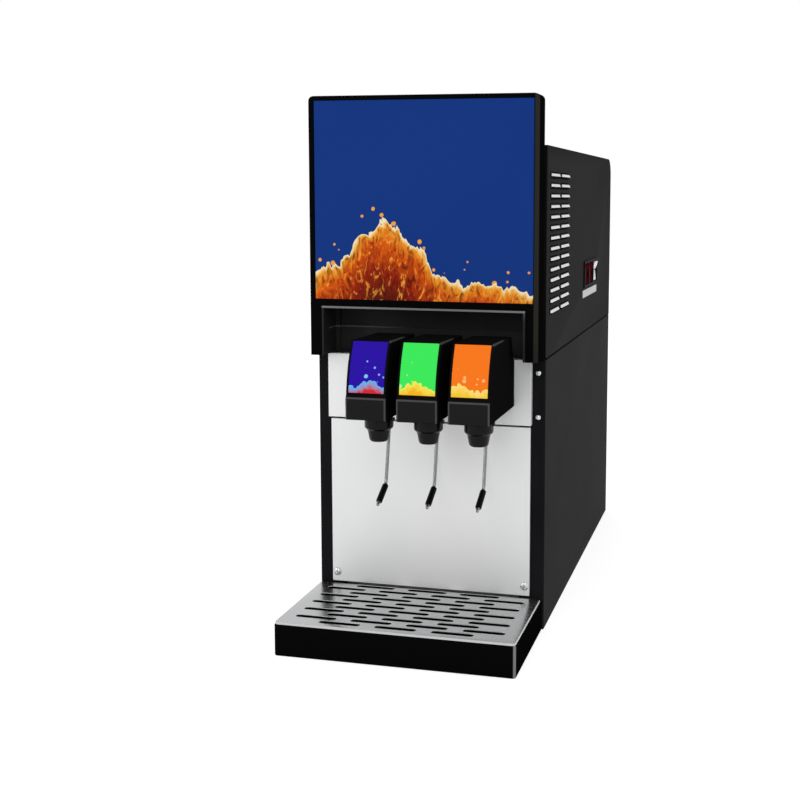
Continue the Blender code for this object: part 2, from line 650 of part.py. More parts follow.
# Lower cabinet
def pan_and_sides():
    inner = HALF_WIDTH - SHEET - GAP
    front, back = SHEET + GAP, CABINET_DEPTH - SHEET - GAP
    pan = box("base_pan", (-inner, front, 0), (inner, back, PAN_RIM), BLACK_STEEL)
    low, high = (SHEET - inner, front + SHEET, SHEET), (inner - SHEET, back - SHEET, PAN_RIM + OVERRUN)
    shaped(pan, [box("hollow", low, high)])
    path = [
        (HALF_WIDTH - COLUMN_WIDTH, COLUMN_RETURN),
        (HALF_WIDTH - COLUMN_WIDTH, 0),
        (HALF_WIDTH, 0),
        (HALF_WIDTH, CABINET_DEPTH),
        (HALF_WIDTH - REAR_FLANGE, CABINET_DEPTH),
    ]
    section = folded(path, SHEET, BEND)
    right = prism("side_panel_right", "Z", section, 0, SEAM_HEIGHT, BLACK_STEEL)
    left = prism("side_panel_left", "Z", mirrored(section), 0, SEAM_HEIGHT, BLACK_STEEL)
    column_holes = [screw_hole(COLUMN_SCREW_X, 0, height) for height in COLUMN_SCREW_HEIGHTS]
    shaped(right, [pan_notch(1), *column_holes, screw_hole(SPLASH_SCREW_X, 0, SPLASH_SCREW_HEIGHT)])
    shaped(left, [pan_notch(-1), screw_hole(-SPLASH_SCREW_X, 0, SPLASH_SCREW_HEIGHT)])


def pan_notch(side):
    """The cut that lets a column's return flange stand on the base pan."""
    near, far = HALF_WIDTH - COLUMN_WIDTH - OVERRUN, HALF_WIDTH - COLUMN_WIDTH + OVERRUN
    low, high = sorted((side * near, side * far))
    return box("notch", (low, SHEET, -OVERRUN), (high, COLUMN_RETURN + OVERRUN, PAN_RIM + GAP))


def screw_hole(x, y, z):
    profile = [(SCREW_HOLE_RADIUS, -OVERRUN), (SCREW_HOLE_RADIUS, SHEET + OVERRUN)]
    return turned("screw_hole", profile, place=(x, y, z), axis="Y", sides=SMALL_ROUND)


def screw(name, x, face, z, radius, rise):
    """A domed screw whose head stands a gap off the face at y = face."""
    dome = [(r, -h) for r, h in quarter(radius, rise)]
    shank = [(SCREW_SHANK_RADIUS, 0), (SCREW_SHANK_RADIUS, SCREW_SHANK), (0, SCREW_SHANK)]
    profile = [*reversed(dome), *shank]
    smoothed(turned(name, profile, BRIGHT_STEEL, (x, face - GAP, z), "Y", SMALL_ROUND))


def screws():
    for name, height in zip(("column_screw_upper", "column_screw_lower"), COLUMN_SCREW_HEIGHTS):
        screw(name, COLUMN_SCREW_X, 0, height, COLUMN_SCREW_RADIUS, COLUMN_SCREW_RISE)
    for name, side in (("splash_screw_left", -1), ("splash_screw_right", 1)):
        x = side * SPLASH_SCREW_X
        screw(name, x, -SPLASH_REACH, SPLASH_SCREW_HEIGHT, SPLASH_SCREW_RADIUS, SPLASH_SCREW_RISE)


def rear_panel():
    half = HALF_WIDTH - SHEET - GAP
    front = CABINET_DEPTH - 2 * SHEET - GAP
    holes = [circle((x, INLET_HEIGHT), INLET_STUB_RADIUS + GAP, SMALL_ROUND) for x in INLET_XS.values()]
    x, z = POWER_INLET_PLACE
    dx, dz = (size / 2 - POWER_INLET_BODY_MARGIN + GAP for size in POWER_INLET_SIZE)
    holes.append(rectangle((x - dx, z - dz), (x + dx, z + dz)))
    outline = rectangle((-half, PAN_RIM + GAP), (half, SEAM_HEIGHT - SEAM))
    prism("rear_panel", "Y", outline, front, front + SHEET, BLACK_STEEL, holes)


# Upper cover with its louvres and the hole for the switches
def cover_section(inset, reach):
    """The cover's side view, moved in by an inset and, for the hollow, run past its open sides."""
    back, top, corner = CABINET_DEPTH - inset, CABINET_HEIGHT - inset, COVER_CORNER - inset
    path = [(-reach, COVER_BOTTOM - reach), (-reach, top), (back, top), (back, COVER_BOTTOM - reach)]
    rounded = filleted(path[1:], corner, COVER_CORNER_STEPS)
    return [path[0], *rounded]


def wedge(bm, side, near, far, top, bottom, root, reach):
    """A louvre's shape: a base on the wall that runs out to an edge along its bottom."""
    base = [(side * root, y, z) for y in (near, far) for z in (bottom, top)]
    edge = [(side * (HALF_WIDTH + reach), y, bottom) for y in (near + LOUVRE_TAPER, far - LOUVRE_TAPER)]
    verts = [bm.verts.new(p) for p in base + edge]
    bmesh.ops.convex_hull(bm, input=verts)


def louvres(name, skin, root, drop):
    """Every louvre's hood, or with a skin its throat, as one tool."""
    bm = bmesh.new()
    for side in (-1, 1):
        for row in range(LOUVRE_ROWS):
            top = LOUVRE_TOP - row * LOUVRE_PITCH
            for column in range(LOUVRE_COLUMNS):
                near = LOUVRE_FRONT + column * (LOUVRE_LENGTH + LOUVRE_COLUMN_GAP) + skin
                far = near + LOUVRE_LENGTH - 2 * skin
                bottom = top - LOUVRE_HEIGHT - drop
                wedge(bm, side, near, far, top - skin, bottom, root, LOUVRE_REACH - skin)
    return solid(name, bm)


def top_cover():
    cover = prism("top_cover", "X", cover_section(0, 0), -HALF_WIDTH, HALF_WIDTH, BLACK_STEEL)
    hollow = prism("hollow", "X", cover_section(SHEET, OVERRUN), SHEET - HALF_WIDTH, HALF_WIDTH - SHEET)
    shaped(cover, [hollow])
    shaped(cover, [louvres("hoods", 0, HALF_WIDTH - SHEET / 2, 0)], "UNION")
    y, z = SWITCH_MIDDLE
    dy = SWITCH_HALF_Y - SWITCH_HOUSING_MARGIN + GAP
    dz = SWITCH_HALF_Z - SWITCH_HOUSING_MARGIN + GAP
    window = box("window", (HALF_WIDTH - OVERRUN, y - dy, z - dz), (HALF_WIDTH + OVERRUN, y + dy, z + dz))
    throats = louvres("throats", LOUVRE_SKIN, HALF_WIDTH - SHEET - OVERRUN, LOUVRE_SKIN)
    shaped(cover, [throats, window])


def head_mount_plate():
    half = HALF_WIDTH - SHEET - GAP
    low, high = COVER_BOTTOM + GAP, CABINET_HEIGHT - SHEET - GAP
    notch = BAY_HALF_WIDTH + GAP
    roof = BAY_ROOF + GAP
    bay = [(-notch, low), (-notch, roof), (notch, roof), (notch, low)]
    outline = [(-half, low), *bay, (half, low), (half, high), (-half, high)]
    prism("head_mount_plate", "Y", outline, GAP, GAP + SHEET, BLACK_STEEL)


# Light head: frame, screen, light board, and the hood of the valve bay
def light_head():
    half, top = HEAD_WIDTH / 2, HEAD_TOP
    path = [(-half, HEAD_BOTTOM), (-half, top), (half, top), (half, HEAD_BOTTOM)]
    side = BAY_HALF_WIDTH
    bay = [(side, HEAD_BOTTOM), (side, BAY_ROOF), (-side, BAY_ROOF), (-side, HEAD_BOTTOM)]
    outline = filleted(path, HEAD_CORNER, BEND_STEPS) + bay
    frame = prism("head_frame", "Y", outline, HEAD_FRONT, -GAP, HEAD_BLACK)
    seat = HEAD_FRONT + SCREEN_INSET + SCREEN_THICKNESS + GAP
    floor = -HEAD_WEB
    rebate = box(
        "rebate",
        (-SCREEN_HALF_WIDTH, HEAD_FRONT - OVERRUN, SCREEN_BOTTOM),
        (SCREEN_HALF_WIDTH, seat, SCREEN_TOP),
    )
    inner = SCREEN_HALF_WIDTH - SCREEN_LEDGE
    low, high = SCREEN_BOTTOM + SCREEN_LEDGE, SCREEN_TOP - SCREEN_LEDGE
    pocket = box("pocket", (-inner, HEAD_FRONT, low), (inner, floor, high))
    shaped(frame, [rebate, pocket])
    box(
        "display_panel",
        (GAP - SCREEN_HALF_WIDTH, HEAD_FRONT + SCREEN_INSET, SCREEN_BOTTOM + GAP),
        (SCREEN_HALF_WIDTH - GAP, seat - GAP, SCREEN_TOP - GAP),
        SCREEN_BLUE,
    )
    board_back = floor - GAP
    box(
        "backlight_board",
        (GAP - inner, board_back - LIGHT_BOARD, low + GAP),
        (inner - GAP, board_back, high - GAP),
        BOARD_WHITE,
    )


def bay_hood():
    half = BAY_HALF_WIDTH - GAP
    bottom, roof = HEAD_BOTTOM + GAP, BAY_ROOF - GAP
    front = HEAD_FRONT - BAY_LIP
    hood = box("bay_hood", (-half, front, bottom), (half, BAY_BACK, roof), HEAD_BLACK)
    ceiling, below = roof - SHEET, bottom - OVERRUN
    floor, wall = bottom + SHEET, BAY_BACK - SHEET
    post = wall - BAY_POST_DEPTH
    foot, open_front = GAP, front - OVERRUN
    entry = [(open_front, below), (foot, below), (foot, floor)]
    side_void = [*entry, (post, floor), (post, ceiling), (open_front, ceiling)]
    main_void = [
        *entry,
        (wall - BAY_LEDGE_DEPTH, floor),
        (wall - BAY_LEDGE_DEPTH, BAY_LEDGE_HEIGHT),
        (wall, BAY_LEDGE_HEIGHT),
        (wall, ceiling),
        (open_front, ceiling),
    ]
    clear = half - SHEET
    between_posts = clear - BAY_POST_WIDTH
    voids = [
        prism("side_void", "X", side_void, -clear, clear),
        prism("main_void", "X", main_void, -between_posts, between_posts),
    ]
    shaped(hood, voids)
    rim = [(half, bottom), (half, roof), (-half, roof), (-half, bottom)]
    hem = prism("hem", "Y", rim + list(reversed(offset(rim, BAY_HEM))), front, HEAD_FRONT - GAP)
    shaped(hood, [hem], "UNION")


# Front panels, shallow trays of sheet that are open at the back
def front_panels():
    top = SEAM_HEIGHT + SEAM / 2
    half = VALVE_PANEL_HALF_WIDTH
    front, back = -VALVE_PANEL_REACH, -GAP
    panel = box("valve_panel", (-half, front, VALVE_PANEL_BOTTOM), (half, back, top), BRIGHT_STEEL)
    low, high = VALVE_PANEL_BOTTOM + PANEL_WALL, top - PANEL_WALL
    hollow = box("hollow", (PANEL_WALL - half, front + PANEL_WALL, low), (half - PANEL_WALL, OVERRUN, high))
    shelf_half = HALF_WIDTH - COLUMN_WIDTH - GAP
    shelf = box("shelf", (-shelf_half, back - PANEL_WALL, high), (shelf_half, VALVE_PANEL_SHELF, top))
    shaped(panel, [hollow])
    shaped(panel, [shelf], "UNION")
    half, front = SPLASH_HALF_WIDTH, -SPLASH_REACH
    top = VALVE_PANEL_BOTTOM - PANEL_JOINT
    splash = box("splash_panel", (-half, front, SPLASH_BOTTOM), (half, back, top), BRIGHT_STEEL)
    hollow = box(
        "hollow",
        (PANEL_WALL - half, front + PANEL_WALL, SPLASH_BOTTOM + PANEL_WALL),
        (half - PANEL_WALL, OVERRUN, top - PANEL_WALL),
    )
    holes = [screw_hole(side * SPLASH_SCREW_X, front, SPLASH_SCREW_HEIGHT) for side in (-1, 1)]
    shaped(splash, [hollow, *holes])


# Drip tray and its lift-out grate, whose turned-down edge stands on the tray's rim
def drip_tray():
    front, back = -TRAY_REACH, -TRAY_BACK_GAP
    half = TRAY_HALF_WIDTH
    tray = box("drip_tray", (-half, front, 0), (half, back, TRAY_RIM), TRAY_BLACK)
    basin = box(
        "basin",
        (TRAY_WALL - half, front + TRAY_WALL, TRAY_FLOOR),
        (half - TRAY_WALL, back - TRAY_WALL, TRAY_RIM + OVERRUN),
    )
    shaped(tray, [basin])
    grate_low = (-GRATE_HALF_WIDTH, front + GRATE_MARGIN)
    grate_high = (GRATE_HALF_WIDTH, -GRATE_BACK_MARGIN)
    foot = GRATE_TOP - GRATE_LIP
    slots = []
    for row in range(SLOT_ROWS):
        count = SLOTS_PER_ROW[row % len(SLOTS_PER_ROW)]
        y = front + SLOT_FIRST_ROW + row * SLOT_ROW_PITCH
        for k in range(count):
            slots.append(stadium(((k - (count - 1) / 2) * SLOT_PITCH, y), SLOT_LENGTH, SLOT_WIDTH))
    plate = rectangle(grate_low, grate_high)
    grate = prism("drip_grate", "Z", plate, foot, GRATE_TOP, GRATE_STEEL, slots)
    within = (
        (grate_low[0] + GRATE_THICKNESS, grate_low[1] + GRATE_THICKNESS, foot - OVERRUN),
        (grate_high[0] - GRATE_THICKNESS, grate_high[1] - GRATE_THICKNESS, GRATE_TOP - GRATE_THICKNESS),
    )
    shaped(grate, [box("within", *within)])


# Valves: cover with its curved face, label, body, nozzle and lever
def face_arc(start, end, depth):
    """Points of the label face, a depth inside it, between two shares of its way from foot to head."""
    foot, head = (Vector((-y, z)) for y, z in (VALVE_FACE_FOOT, VALVE_FACE_HEAD))
    chord = head - foot
    radius = chord.length_squared / (8 * VALVE_FACE_BULGE) + VALVE_FACE_BULGE / 2
    inward = Vector((chord.y, -chord.x)).normalized()
    centre = (foot + head) / 2 + inward * (radius - VALVE_FACE_BULGE)
    whole = [Vector(p) - centre for p in arc(centre, foot - centre, head - centre, radius, 1)]
    turn = whole[0].angle(whole[1])
    ways = [Matrix.Rotation(-turn * share, 2) @ whole[0] for share in (start, end)]
    return arc(centre, *ways, radius - depth, VALVE_FACE_STEPS)


def valve_meshes():
    """The cover's, body's, nozzle's, lever's and grip's meshes, made once for every valve."""
    half = VALVE_WIDTH / 2
    (top_y, top_z), (back_y, back_z) = VALVE_TOP_BACK, VALVE_SHOULDER_BACK
    block = [(-VALVE_FRONT, VALVE_BOTTOM), (-VALVE_FRONT, VALVE_BLOCK_TOP)]
    front = [*block, *face_arc(0, 1, 0), (-top_y, top_z)]
    outline = [*front, (-back_y, back_z), (-back_y, VALVE_BOTTOM)]
    cover = prism("valve_cover", "X", outline, -half, half, VALVE_BLACK)
    inside = offset(front, -COVER_WALL)
    inside[0] = (inside[0][0], VALVE_BOTTOM - OVERRUN)
    void = [*inside, (OVERRUN - back_y, inside[-1][1]), (OVERRUN - back_y, VALVE_BOTTOM - OVERRUN)]
    recess = [*face_arc(0, 1, LABEL_RECESS), *reversed(face_arc(0, 1, -OVERRUN))]
    inner, label = half - COVER_WALL, LABEL_HALF_WIDTH + GAP
    shaped(cover, [prism("void", "X", void, -inner, inner), prism("recess", "X", recess, -label, label)])

    skin = face_arc(LABEL_END_SHARE, 1 - LABEL_END_SHARE, 0)
    backing = face_arc(LABEL_END_SHARE, 1 - LABEL_END_SHARE, LABEL_THICKNESS)
    card = prism("valve_label", "X", [*skin, *reversed(backing)], -LABEL_HALF_WIDTH, LABEL_HALF_WIDTH)

    snug = inner - BODY_SIDE_GAP
    panel = -VALVE_PANEL_REACH - GAP
    sill = VALVE_BOTTOM + BODY_SILL
    body = box("valve_body", (-snug, -BODY_FRONT, sill), (snug, panel, BODY_TOP), BODY_GREY)
    body = centred(body)
    plate = box("plate", (-half, panel - VALVE_PLATE, sill), (half, panel, VALVE_PLATE_TOP))
    shaped(body, [plate], "UNION")
    slot_half, slot_top = HUB_SLOT_WIDTH / 2, LEVER_PIVOT_HEIGHT + HUB_RADIUS + HUB_TOP_ROOM
    slot = box(
        "slot",
        (-slot_half, -LEVER_PIVOT_BACK - HUB_RADIUS - HUB_FRONT_ROOM, sill - OVERRUN),
        (slot_half, HUB_RADIUS + HUB_BACK_ROOM - LEVER_PIVOT_BACK, slot_top),
    )
    bore_radius = TRUNNION_RADIUS + SHAFT_CLEARANCE
    bore = turned(
        "bore",
        [(bore_radius, -TRUNNION_BORE_LENGTH / 2), (bore_radius, TRUNNION_BORE_LENGTH / 2)],
        place=(0, -LEVER_PIVOT_BACK, LEVER_PIVOT_HEIGHT),
        axis="X",
        sides=SMALL_ROUND,
    )
    shaped(body, [slot, bore])
    patterns = {"valve_cover": cover, "valve_label": card, "valve_body": body}
    patterns.update({"nozzle": nozzle(), "lever": lever(), "grip": grip()})
    return patterns


def centred(obj):
    """The object with its place moved into its mesh, so that its origin is the machine's."""
    obj.data.transform(Matrix.Translation(obj.location))
    obj.location = (0, 0, 0)
    return obj


def nozzle():
    """The nozzle about its own axis, its top at the origin."""
    ring_top = -NOZZLE_COLLAR
    ring_bottom = ring_top - NOZZLE_RING
    lip_top = ring_bottom - NOZZLE_TAPER
    bottom = lip_top - NOZZLE_LIP
    profile = [
        (0, bottom + NOZZLE_BORE_DEPTH),
        (NOZZLE_BORE_RADIUS, bottom + NOZZLE_BORE_DEPTH),
        (NOZZLE_BORE_RADIUS, bottom),
        (NOZZLE_LIP_RADIUS, bottom),
        (NOZZLE_LIP_RADIUS, lip_top),
        (NOZZLE_RING_RADIUS, ring_bottom),
        (NOZZLE_RING_RADIUS, ring_top),
        (NOZZLE_COLLAR_RADIUS, ring_top),
        (NOZZLE_COLLAR_RADIUS, 0),
        (0, 0),
    ]
    spout = turned("nozzle", profile, VALVE_BLACK)
    lugs = box(
        "lugs",
        (-NOZZLE_LUG_REACH, -NOZZLE_LUG_HALF_WIDTH, ring_top - NOZZLE_LUG_HEIGHT),
        (NOZZLE_LUG_REACH, NOZZLE_LUG_HALF_WIDTH, ring_top / 2),
    )
    return shaped(spout, [lugs], "UNION")


def bent_rod(name, path, radius, sides, mat=None):
    """A round rod along a path of (y, z) points, with flat ends."""
    bm = bmesh.new()
    points = [Vector((0, y, z)) for y, z in path]
    ways = [(b - a).normalized() for a, b in zip(points, points[1:])]
    rings = []
    across = Vector((1, 0, 0))
    for k, point in enumerate(points):
        before, after = ways[max(k - 1, 0)], ways[min(k, len(ways) - 1)]
        square = across.cross((before + after).normalized())
        stretch = 1 / square.dot(across.cross(after))
        angles = [2 * math.pi * s / sides for s in range(sides)]
        ring = [point + (across * math.cos(a) + square * math.sin(a) * stretch) * radius for a in angles]
        rings.append([bm.verts.new(p) for p in ring])
    for low, high in zip(rings, rings[1:]):
        for k in range(sides):
            bm.faces.new((low[k], low[(k + 1) % sides], high[(k + 1) % sides], high[k]))
    bm.faces.new(rings[0])
    bm.faces.new(rings[-1])
    return solid(name, bm, mat)


def lever():
    """The lever about its pivot: a bent rod with a hub and trunnions above and a ball at its tip."""
    elbow, tip = Vector(LEVER_ELBOW), Vector(LEVER_TIP)
    radius = (tip - elbow).length * LEVER_BEND_SHARE
    path = filleted([(0, 0), tuple(elbow), tuple(tip)], radius, BEND_STEPS)
    rod = bent_rod("lever", path, LEVER_ROD_RADIUS, LEVER_SIDES, BRIGHT_STEEL)
    profile = [(HUB_RADIUS, -HUB_WIDTH / 2), (HUB_RADIUS, HUB_WIDTH / 2)]
    hub = turned("hub", profile, axis="X", sides=SMALL_ROUND)
    pin = turned(
        "pin",
        [(TRUNNION_RADIUS, -TRUNNION_LENGTH / 2), (TRUNNION_RADIUS, TRUNNION_LENGTH / 2)],
        axis="X",
        sides=SMALL_ROUND,
    )
    upper = quarter(LEVER_BALL_RADIUS, LEVER_BALL_RADIUS)
    lower = [(r, -h) for r, h in reversed(upper[1:])]
    ball = turned("ball", lower + upper, place=(0, *tip), sides=LEVER_SIDES)
    return shaped(rod, [hub, pin, ball], "UNION")


def grip():
    """The rubber sleeve on the lever's lower arm, in the lever's own frame."""
    elbow, tip = Vector((0, *LEVER_ELBOW)), Vector((0, *LEVER_TIP))
    way = (tip - elbow).normalized()
    bore = LEVER_ROD_RADIUS + GAP
    start, end = GRIP_FROM_ELBOW, GRIP_FROM_ELBOW + GRIP_LENGTH
    profile = [
        (bore, start),
        (GRIP_RADIUS - GRIP_EDGE, start),
        (GRIP_RADIUS, start + GRIP_EDGE),
        (GRIP_RADIUS, end - GRIP_EDGE),
        (GRIP_RADIUS - GRIP_EDGE, end),
        (bore, end),
    ]
    sleeve = turned("grip", profile, RUBBER, sides=SMALL_ROUND, ring=True)
    turn = Vector((0, 0, 1)).rotation_difference(way).to_matrix().to_4x4()
    sleeve.data.transform(Matrix.Translation(elbow) @ turn)
    return sleeve


def valves():
    patterns = valve_meshes()
    nozzle_top = VALVE_BOTTOM + BODY_SILL - GAP
    for k in range(VALVE_COUNT):
        x = VALVE_MIDDLE_X + (k - (VALVE_COUNT - 1) / 2) * VALVE_PITCH
        pivot = (x, -LEVER_PIVOT_BACK, LEVER_PIVOT_HEIGHT)
        places = {"valve_cover": (x, 0, 0), "valve_label": (x, 0, 0), "valve_body": (x, 0, 0)}
        places.update({"nozzle": (x, NOZZLE_Y, nozzle_top), "lever": pivot, "grip": pivot})
        for kind, place in places.items():
            mesh = patterns[kind].data
            if kind == "valve_label":
                mesh = mesh.copy()
                mesh.materials.append(LABELS[k])
            obj = link(f"{kind}_{k + 1}", mesh, place)
            if kind in ("nozzle", "lever", "grip"):
                smoothed(obj)
    for pattern in patterns.values():
        bpy.data.objects.remove(pattern, do_unlink=True)


# Switch bank on the right side of the upper cover
def switches():
    y, z = SWITCH_MIDDLE
    face = HALF_WIDTH + GAP
    outside = face + SWITCH_FLANGE_THICKNESS
    flange_low = (face, y - SWITCH_HALF_Y, z - SWITCH_HALF_Z)
    flange_high = (outside, y + SWITCH_HALF_Y, z + SWITCH_HALF_Z)
    bank = centred(box("switch_bank", flange_low, flange_high, SWITCH_BLACK))
    dy, dz = SWITCH_HALF_Y - SWITCH_HOUSING_MARGIN, SWITCH_HALF_Z - SWITCH_HOUSING_MARGIN
    middle_of_flange = face + SWITCH_FLANGE_THICKNESS / 2
    inside = HALF_WIDTH - SWITCH_HOUSING_DEPTH
    housing = box("housing", (inside, y - dy, z - dz), (middle_of_flange, y + dy, z + dz))
    shaped(bank, [housing], "UNION")
    pocket_y, pocket_z = SWITCH_POCKET[0] / 2, SWITCH_POCKET[1] / 2
    pockets = []
    for k in range(SWITCH_COUNT):
        middle = y + (k - (SWITCH_COUNT - 1) / 2) * SWITCH_PITCH
        low = (outside - SWITCH_POCKET_DEPTH, middle - pocket_y, z - pocket_z)
        pockets.append(box("pocket", low, (outside + OVERRUN, middle + pocket_y, z + pocket_z)))
        half_z = pocket_z - ROCKER_END_GAP
        half_y = pocket_y - ROCKER_SIDE_GAP
        profile = [
            (-ROCKER_BODY_DEPTH, -half_z),
            (ROCKER_RISE, -half_z),
            (ROCKER_RISE - ROCKER_DISH, 0),
            (ROCKER_RISE, half_z),
            (-ROCKER_BODY_DEPTH, half_z),
        ]
        pivot = (outside - ROCKER_PIVOT_DEPTH, middle, z)
        rocker = prism(f"rocker_{k + 1}", "Y", profile, -half_y, half_y, ROCKERS[k], place=pivot)
        rocker.rotation_euler.y = ROCKER_TILT
    shaped(bank, pockets)
    dy, dz = SWITCH_PLATE[0] / 2, SWITCH_PLATE[1] / 2
    low = (face, SWITCH_PLATE_MIDDLE - dy, SWITCH_PLATE_HEIGHT - dz)
    high = (face + SWITCH_PLATE_THICKNESS, SWITCH_PLATE_MIDDLE + dy, SWITCH_PLATE_HEIGHT + dz)
    box("switch_plate", low, high, PLATE_GREY)


# Water bath with its coil and agitator
def bath():
    half = BATH_HALF_WIDTH
    front, back = BATH_END_CLEARANCE, CABINET_DEPTH - BATH_END_CLEARANCE
    bottom = SHEET + GAP
    tank = box("water_bath", (-half, front, bottom), (half, back, BATH_TOP), FOAM)
    hollow = box(
        "hollow",
        (BATH_WALL - half, front + BATH_WALL, bottom + BATH_WALL),
        (half - BATH_WALL, back - BATH_WALL, BATH_TOP + OVERRUN),
    )
    shaped(tank, [hollow])
    coil()


def coil():
    """A rounded rectangular coil that winds upwards, with a tail up to the deck."""
    half_x, half_y = COIL_HALF_SIZE
    middle_y = CABINET_DEPTH / 2
    corners = [(1, 1), (-1, 1), (-1, -1), (1, -1)]
    ring = []
    for k, (sx, sy) in enumerate(corners):
        centre = (sx * (half_x - COIL_CORNER), middle_y + sy * (half_y - COIL_CORNER))
        for step in range(COIL_CORNER_STEPS + 1):
            a = math.pi / 2 * (k + step / COIL_CORNER_STEPS)
            ring.append((centre[0] + COIL_CORNER * math.cos(a), centre[1] + COIL_CORNER * math.sin(a)))
    count = len(ring) * COIL_TURNS
    points = []
    for k in range(count + 1):
        x, y = ring[k % len(ring)]
        points.append((x, y, COIL_BOTTOM + COIL_PITCH * k / len(ring)))
    points.append((points[-1][0], points[-1][1], BATH_TOP))
    curve = bpy.data.curves.new("evaporator_coil", "CURVE")
    curve.dimensions = "3D"
    spline = curve.splines.new("POLY")
    spline.points.add(len(points) - 1)
    for target, point in zip(spline.points, points):
        target.co = (*point, 1)
    curve.bevel_depth = COIL_TUBE_RADIUS
    curve.bevel_resolution = 1
    curve.use_fill_caps = True
    curve.materials.append(COPPER)
    link("evaporator_coil", curve)


def rotor(name, hub, blade_count, length, chord, pitch, shaft, mat, place, axis):
    """A hub with pitched blades and a shaft; shaft holds its radius and its ends along the axis."""
    hub_radius, hub_length = hub
    shaft_radius, shaft_start, shaft_end = shaft
    low, high = -hub_length / 2, hub_length / 2
    profile = [(0, low), (hub_radius, low), (hub_radius, high), (0, high)]
    if shaft_start < low:
        profile[:1] = [(0, shaft_start), (shaft_radius, shaft_start), (shaft_radius, low)]
    if shaft_end > high:
        profile[-1:] = [(shaft_radius, high), (shaft_radius, shaft_end), (0, shaft_end)]
    body = turned(name, profile, mat, sides=SMALL_ROUND)
    blades = []
    for k in range(blade_count):
        half = BLADE_THICKNESS / 2
        blade = box("blade", (0, -chord / 2, -half), (length, chord / 2, half))
        centred(blade)
        spin = Matrix.Rotation(2 * math.pi * k / blade_count, 4, "Z")
        root = Matrix.Translation((hub_radius / 2, 0, 0))
        blade.data.transform(spin @ root @ Matrix.Rotation(pitch, 4, "X"))
        blades.append(blade)
    shaped(body, blades, "UNION")
    if axis == "X":
        body.data.transform(Matrix.Rotation(math.pi / 2, 4, "Y"))
    body.location = place
    return smoothed(body)


def agitator():
    x, y = AGITATOR_PLACE
    top = STANDING + AGITATOR_SHAFT_RISE
    rotor(
        "agitator",
        AGITATOR_HUB,
        AGITATOR_BLADES,
        AGITATOR_BLADE_LENGTH,
        AGITATOR_BLADE_WIDTH,
        AGITATOR_BLADE_PITCH,
        (AGITATOR_SHAFT_RADIUS, 0, top - AGITATOR_DEPTH),
        PLATED_STEEL,
        (x, y, AGITATOR_DEPTH),
        "Z",
    )
    bore = AGITATOR_SHAFT_RADIUS + SHAFT_CLEARANCE
    bore_top = AGITATOR_SHAFT_RISE + SHAFT_CLEARANCE
    radius, height = AGITATOR_MOTOR_RADIUS, AGITATOR_MOTOR_HEIGHT
    profile = [(0, bore_top), (bore, bore_top), (bore, 0), (radius, 0), (radius, height), (0, height)]
    smoothed(turned("agitator_motor", profile, MOTOR_SILVER, (x, y, STANDING)))


# Refrigeration deck and what stands on it
def deck():
    half = HALF_WIDTH - SHEET - DECK_SIDE_CLEARANCE
    outline = rectangle((-half, DECK_END_CLEARANCE), (half, CABINET_DEPTH - DECK_END_CLEARANCE))
    hole = circle(AGITATOR_PLACE, DECK_HOLE_RADIUS, SMALL_ROUND)
    prism("deck", "Z", outline, DECK_TOP - DECK_SHEET, DECK_TOP, PLATED_STEEL, [hole])


def condenser():
    """Upright fins on a core, seen from above as a comb with teeth on both sides."""
    (x0, y0), (x1, y1) = CONDENSER_LOW, CONDENSER_HIGH
    reach = (x1 - x0) * (1 - CONDENSER_CORE_SHARE) / 2
    pitch = (y1 - y0 - CONDENSER_FIN_THICKNESS) / (CONDENSER_FINS - 1)
    right, left = [], []
    for k in range(CONDENSER_FINS):
        near = y0 + k * pitch
        far = near + CONDENSER_FIN_THICKNESS
        right += [(x1 - reach, near), (x1, near), (x1, far), (x1 - reach, far)]
        left += [(x0 + reach, near), (x0, near), (x0, far), (x0 + reach, far)]
    outline = right[1:-1] + list(reversed(left[1:-1]))
    prism("condenser", "Z", outline, STANDING, CONDENSER_TOP, FIN_ALUMINIUM)


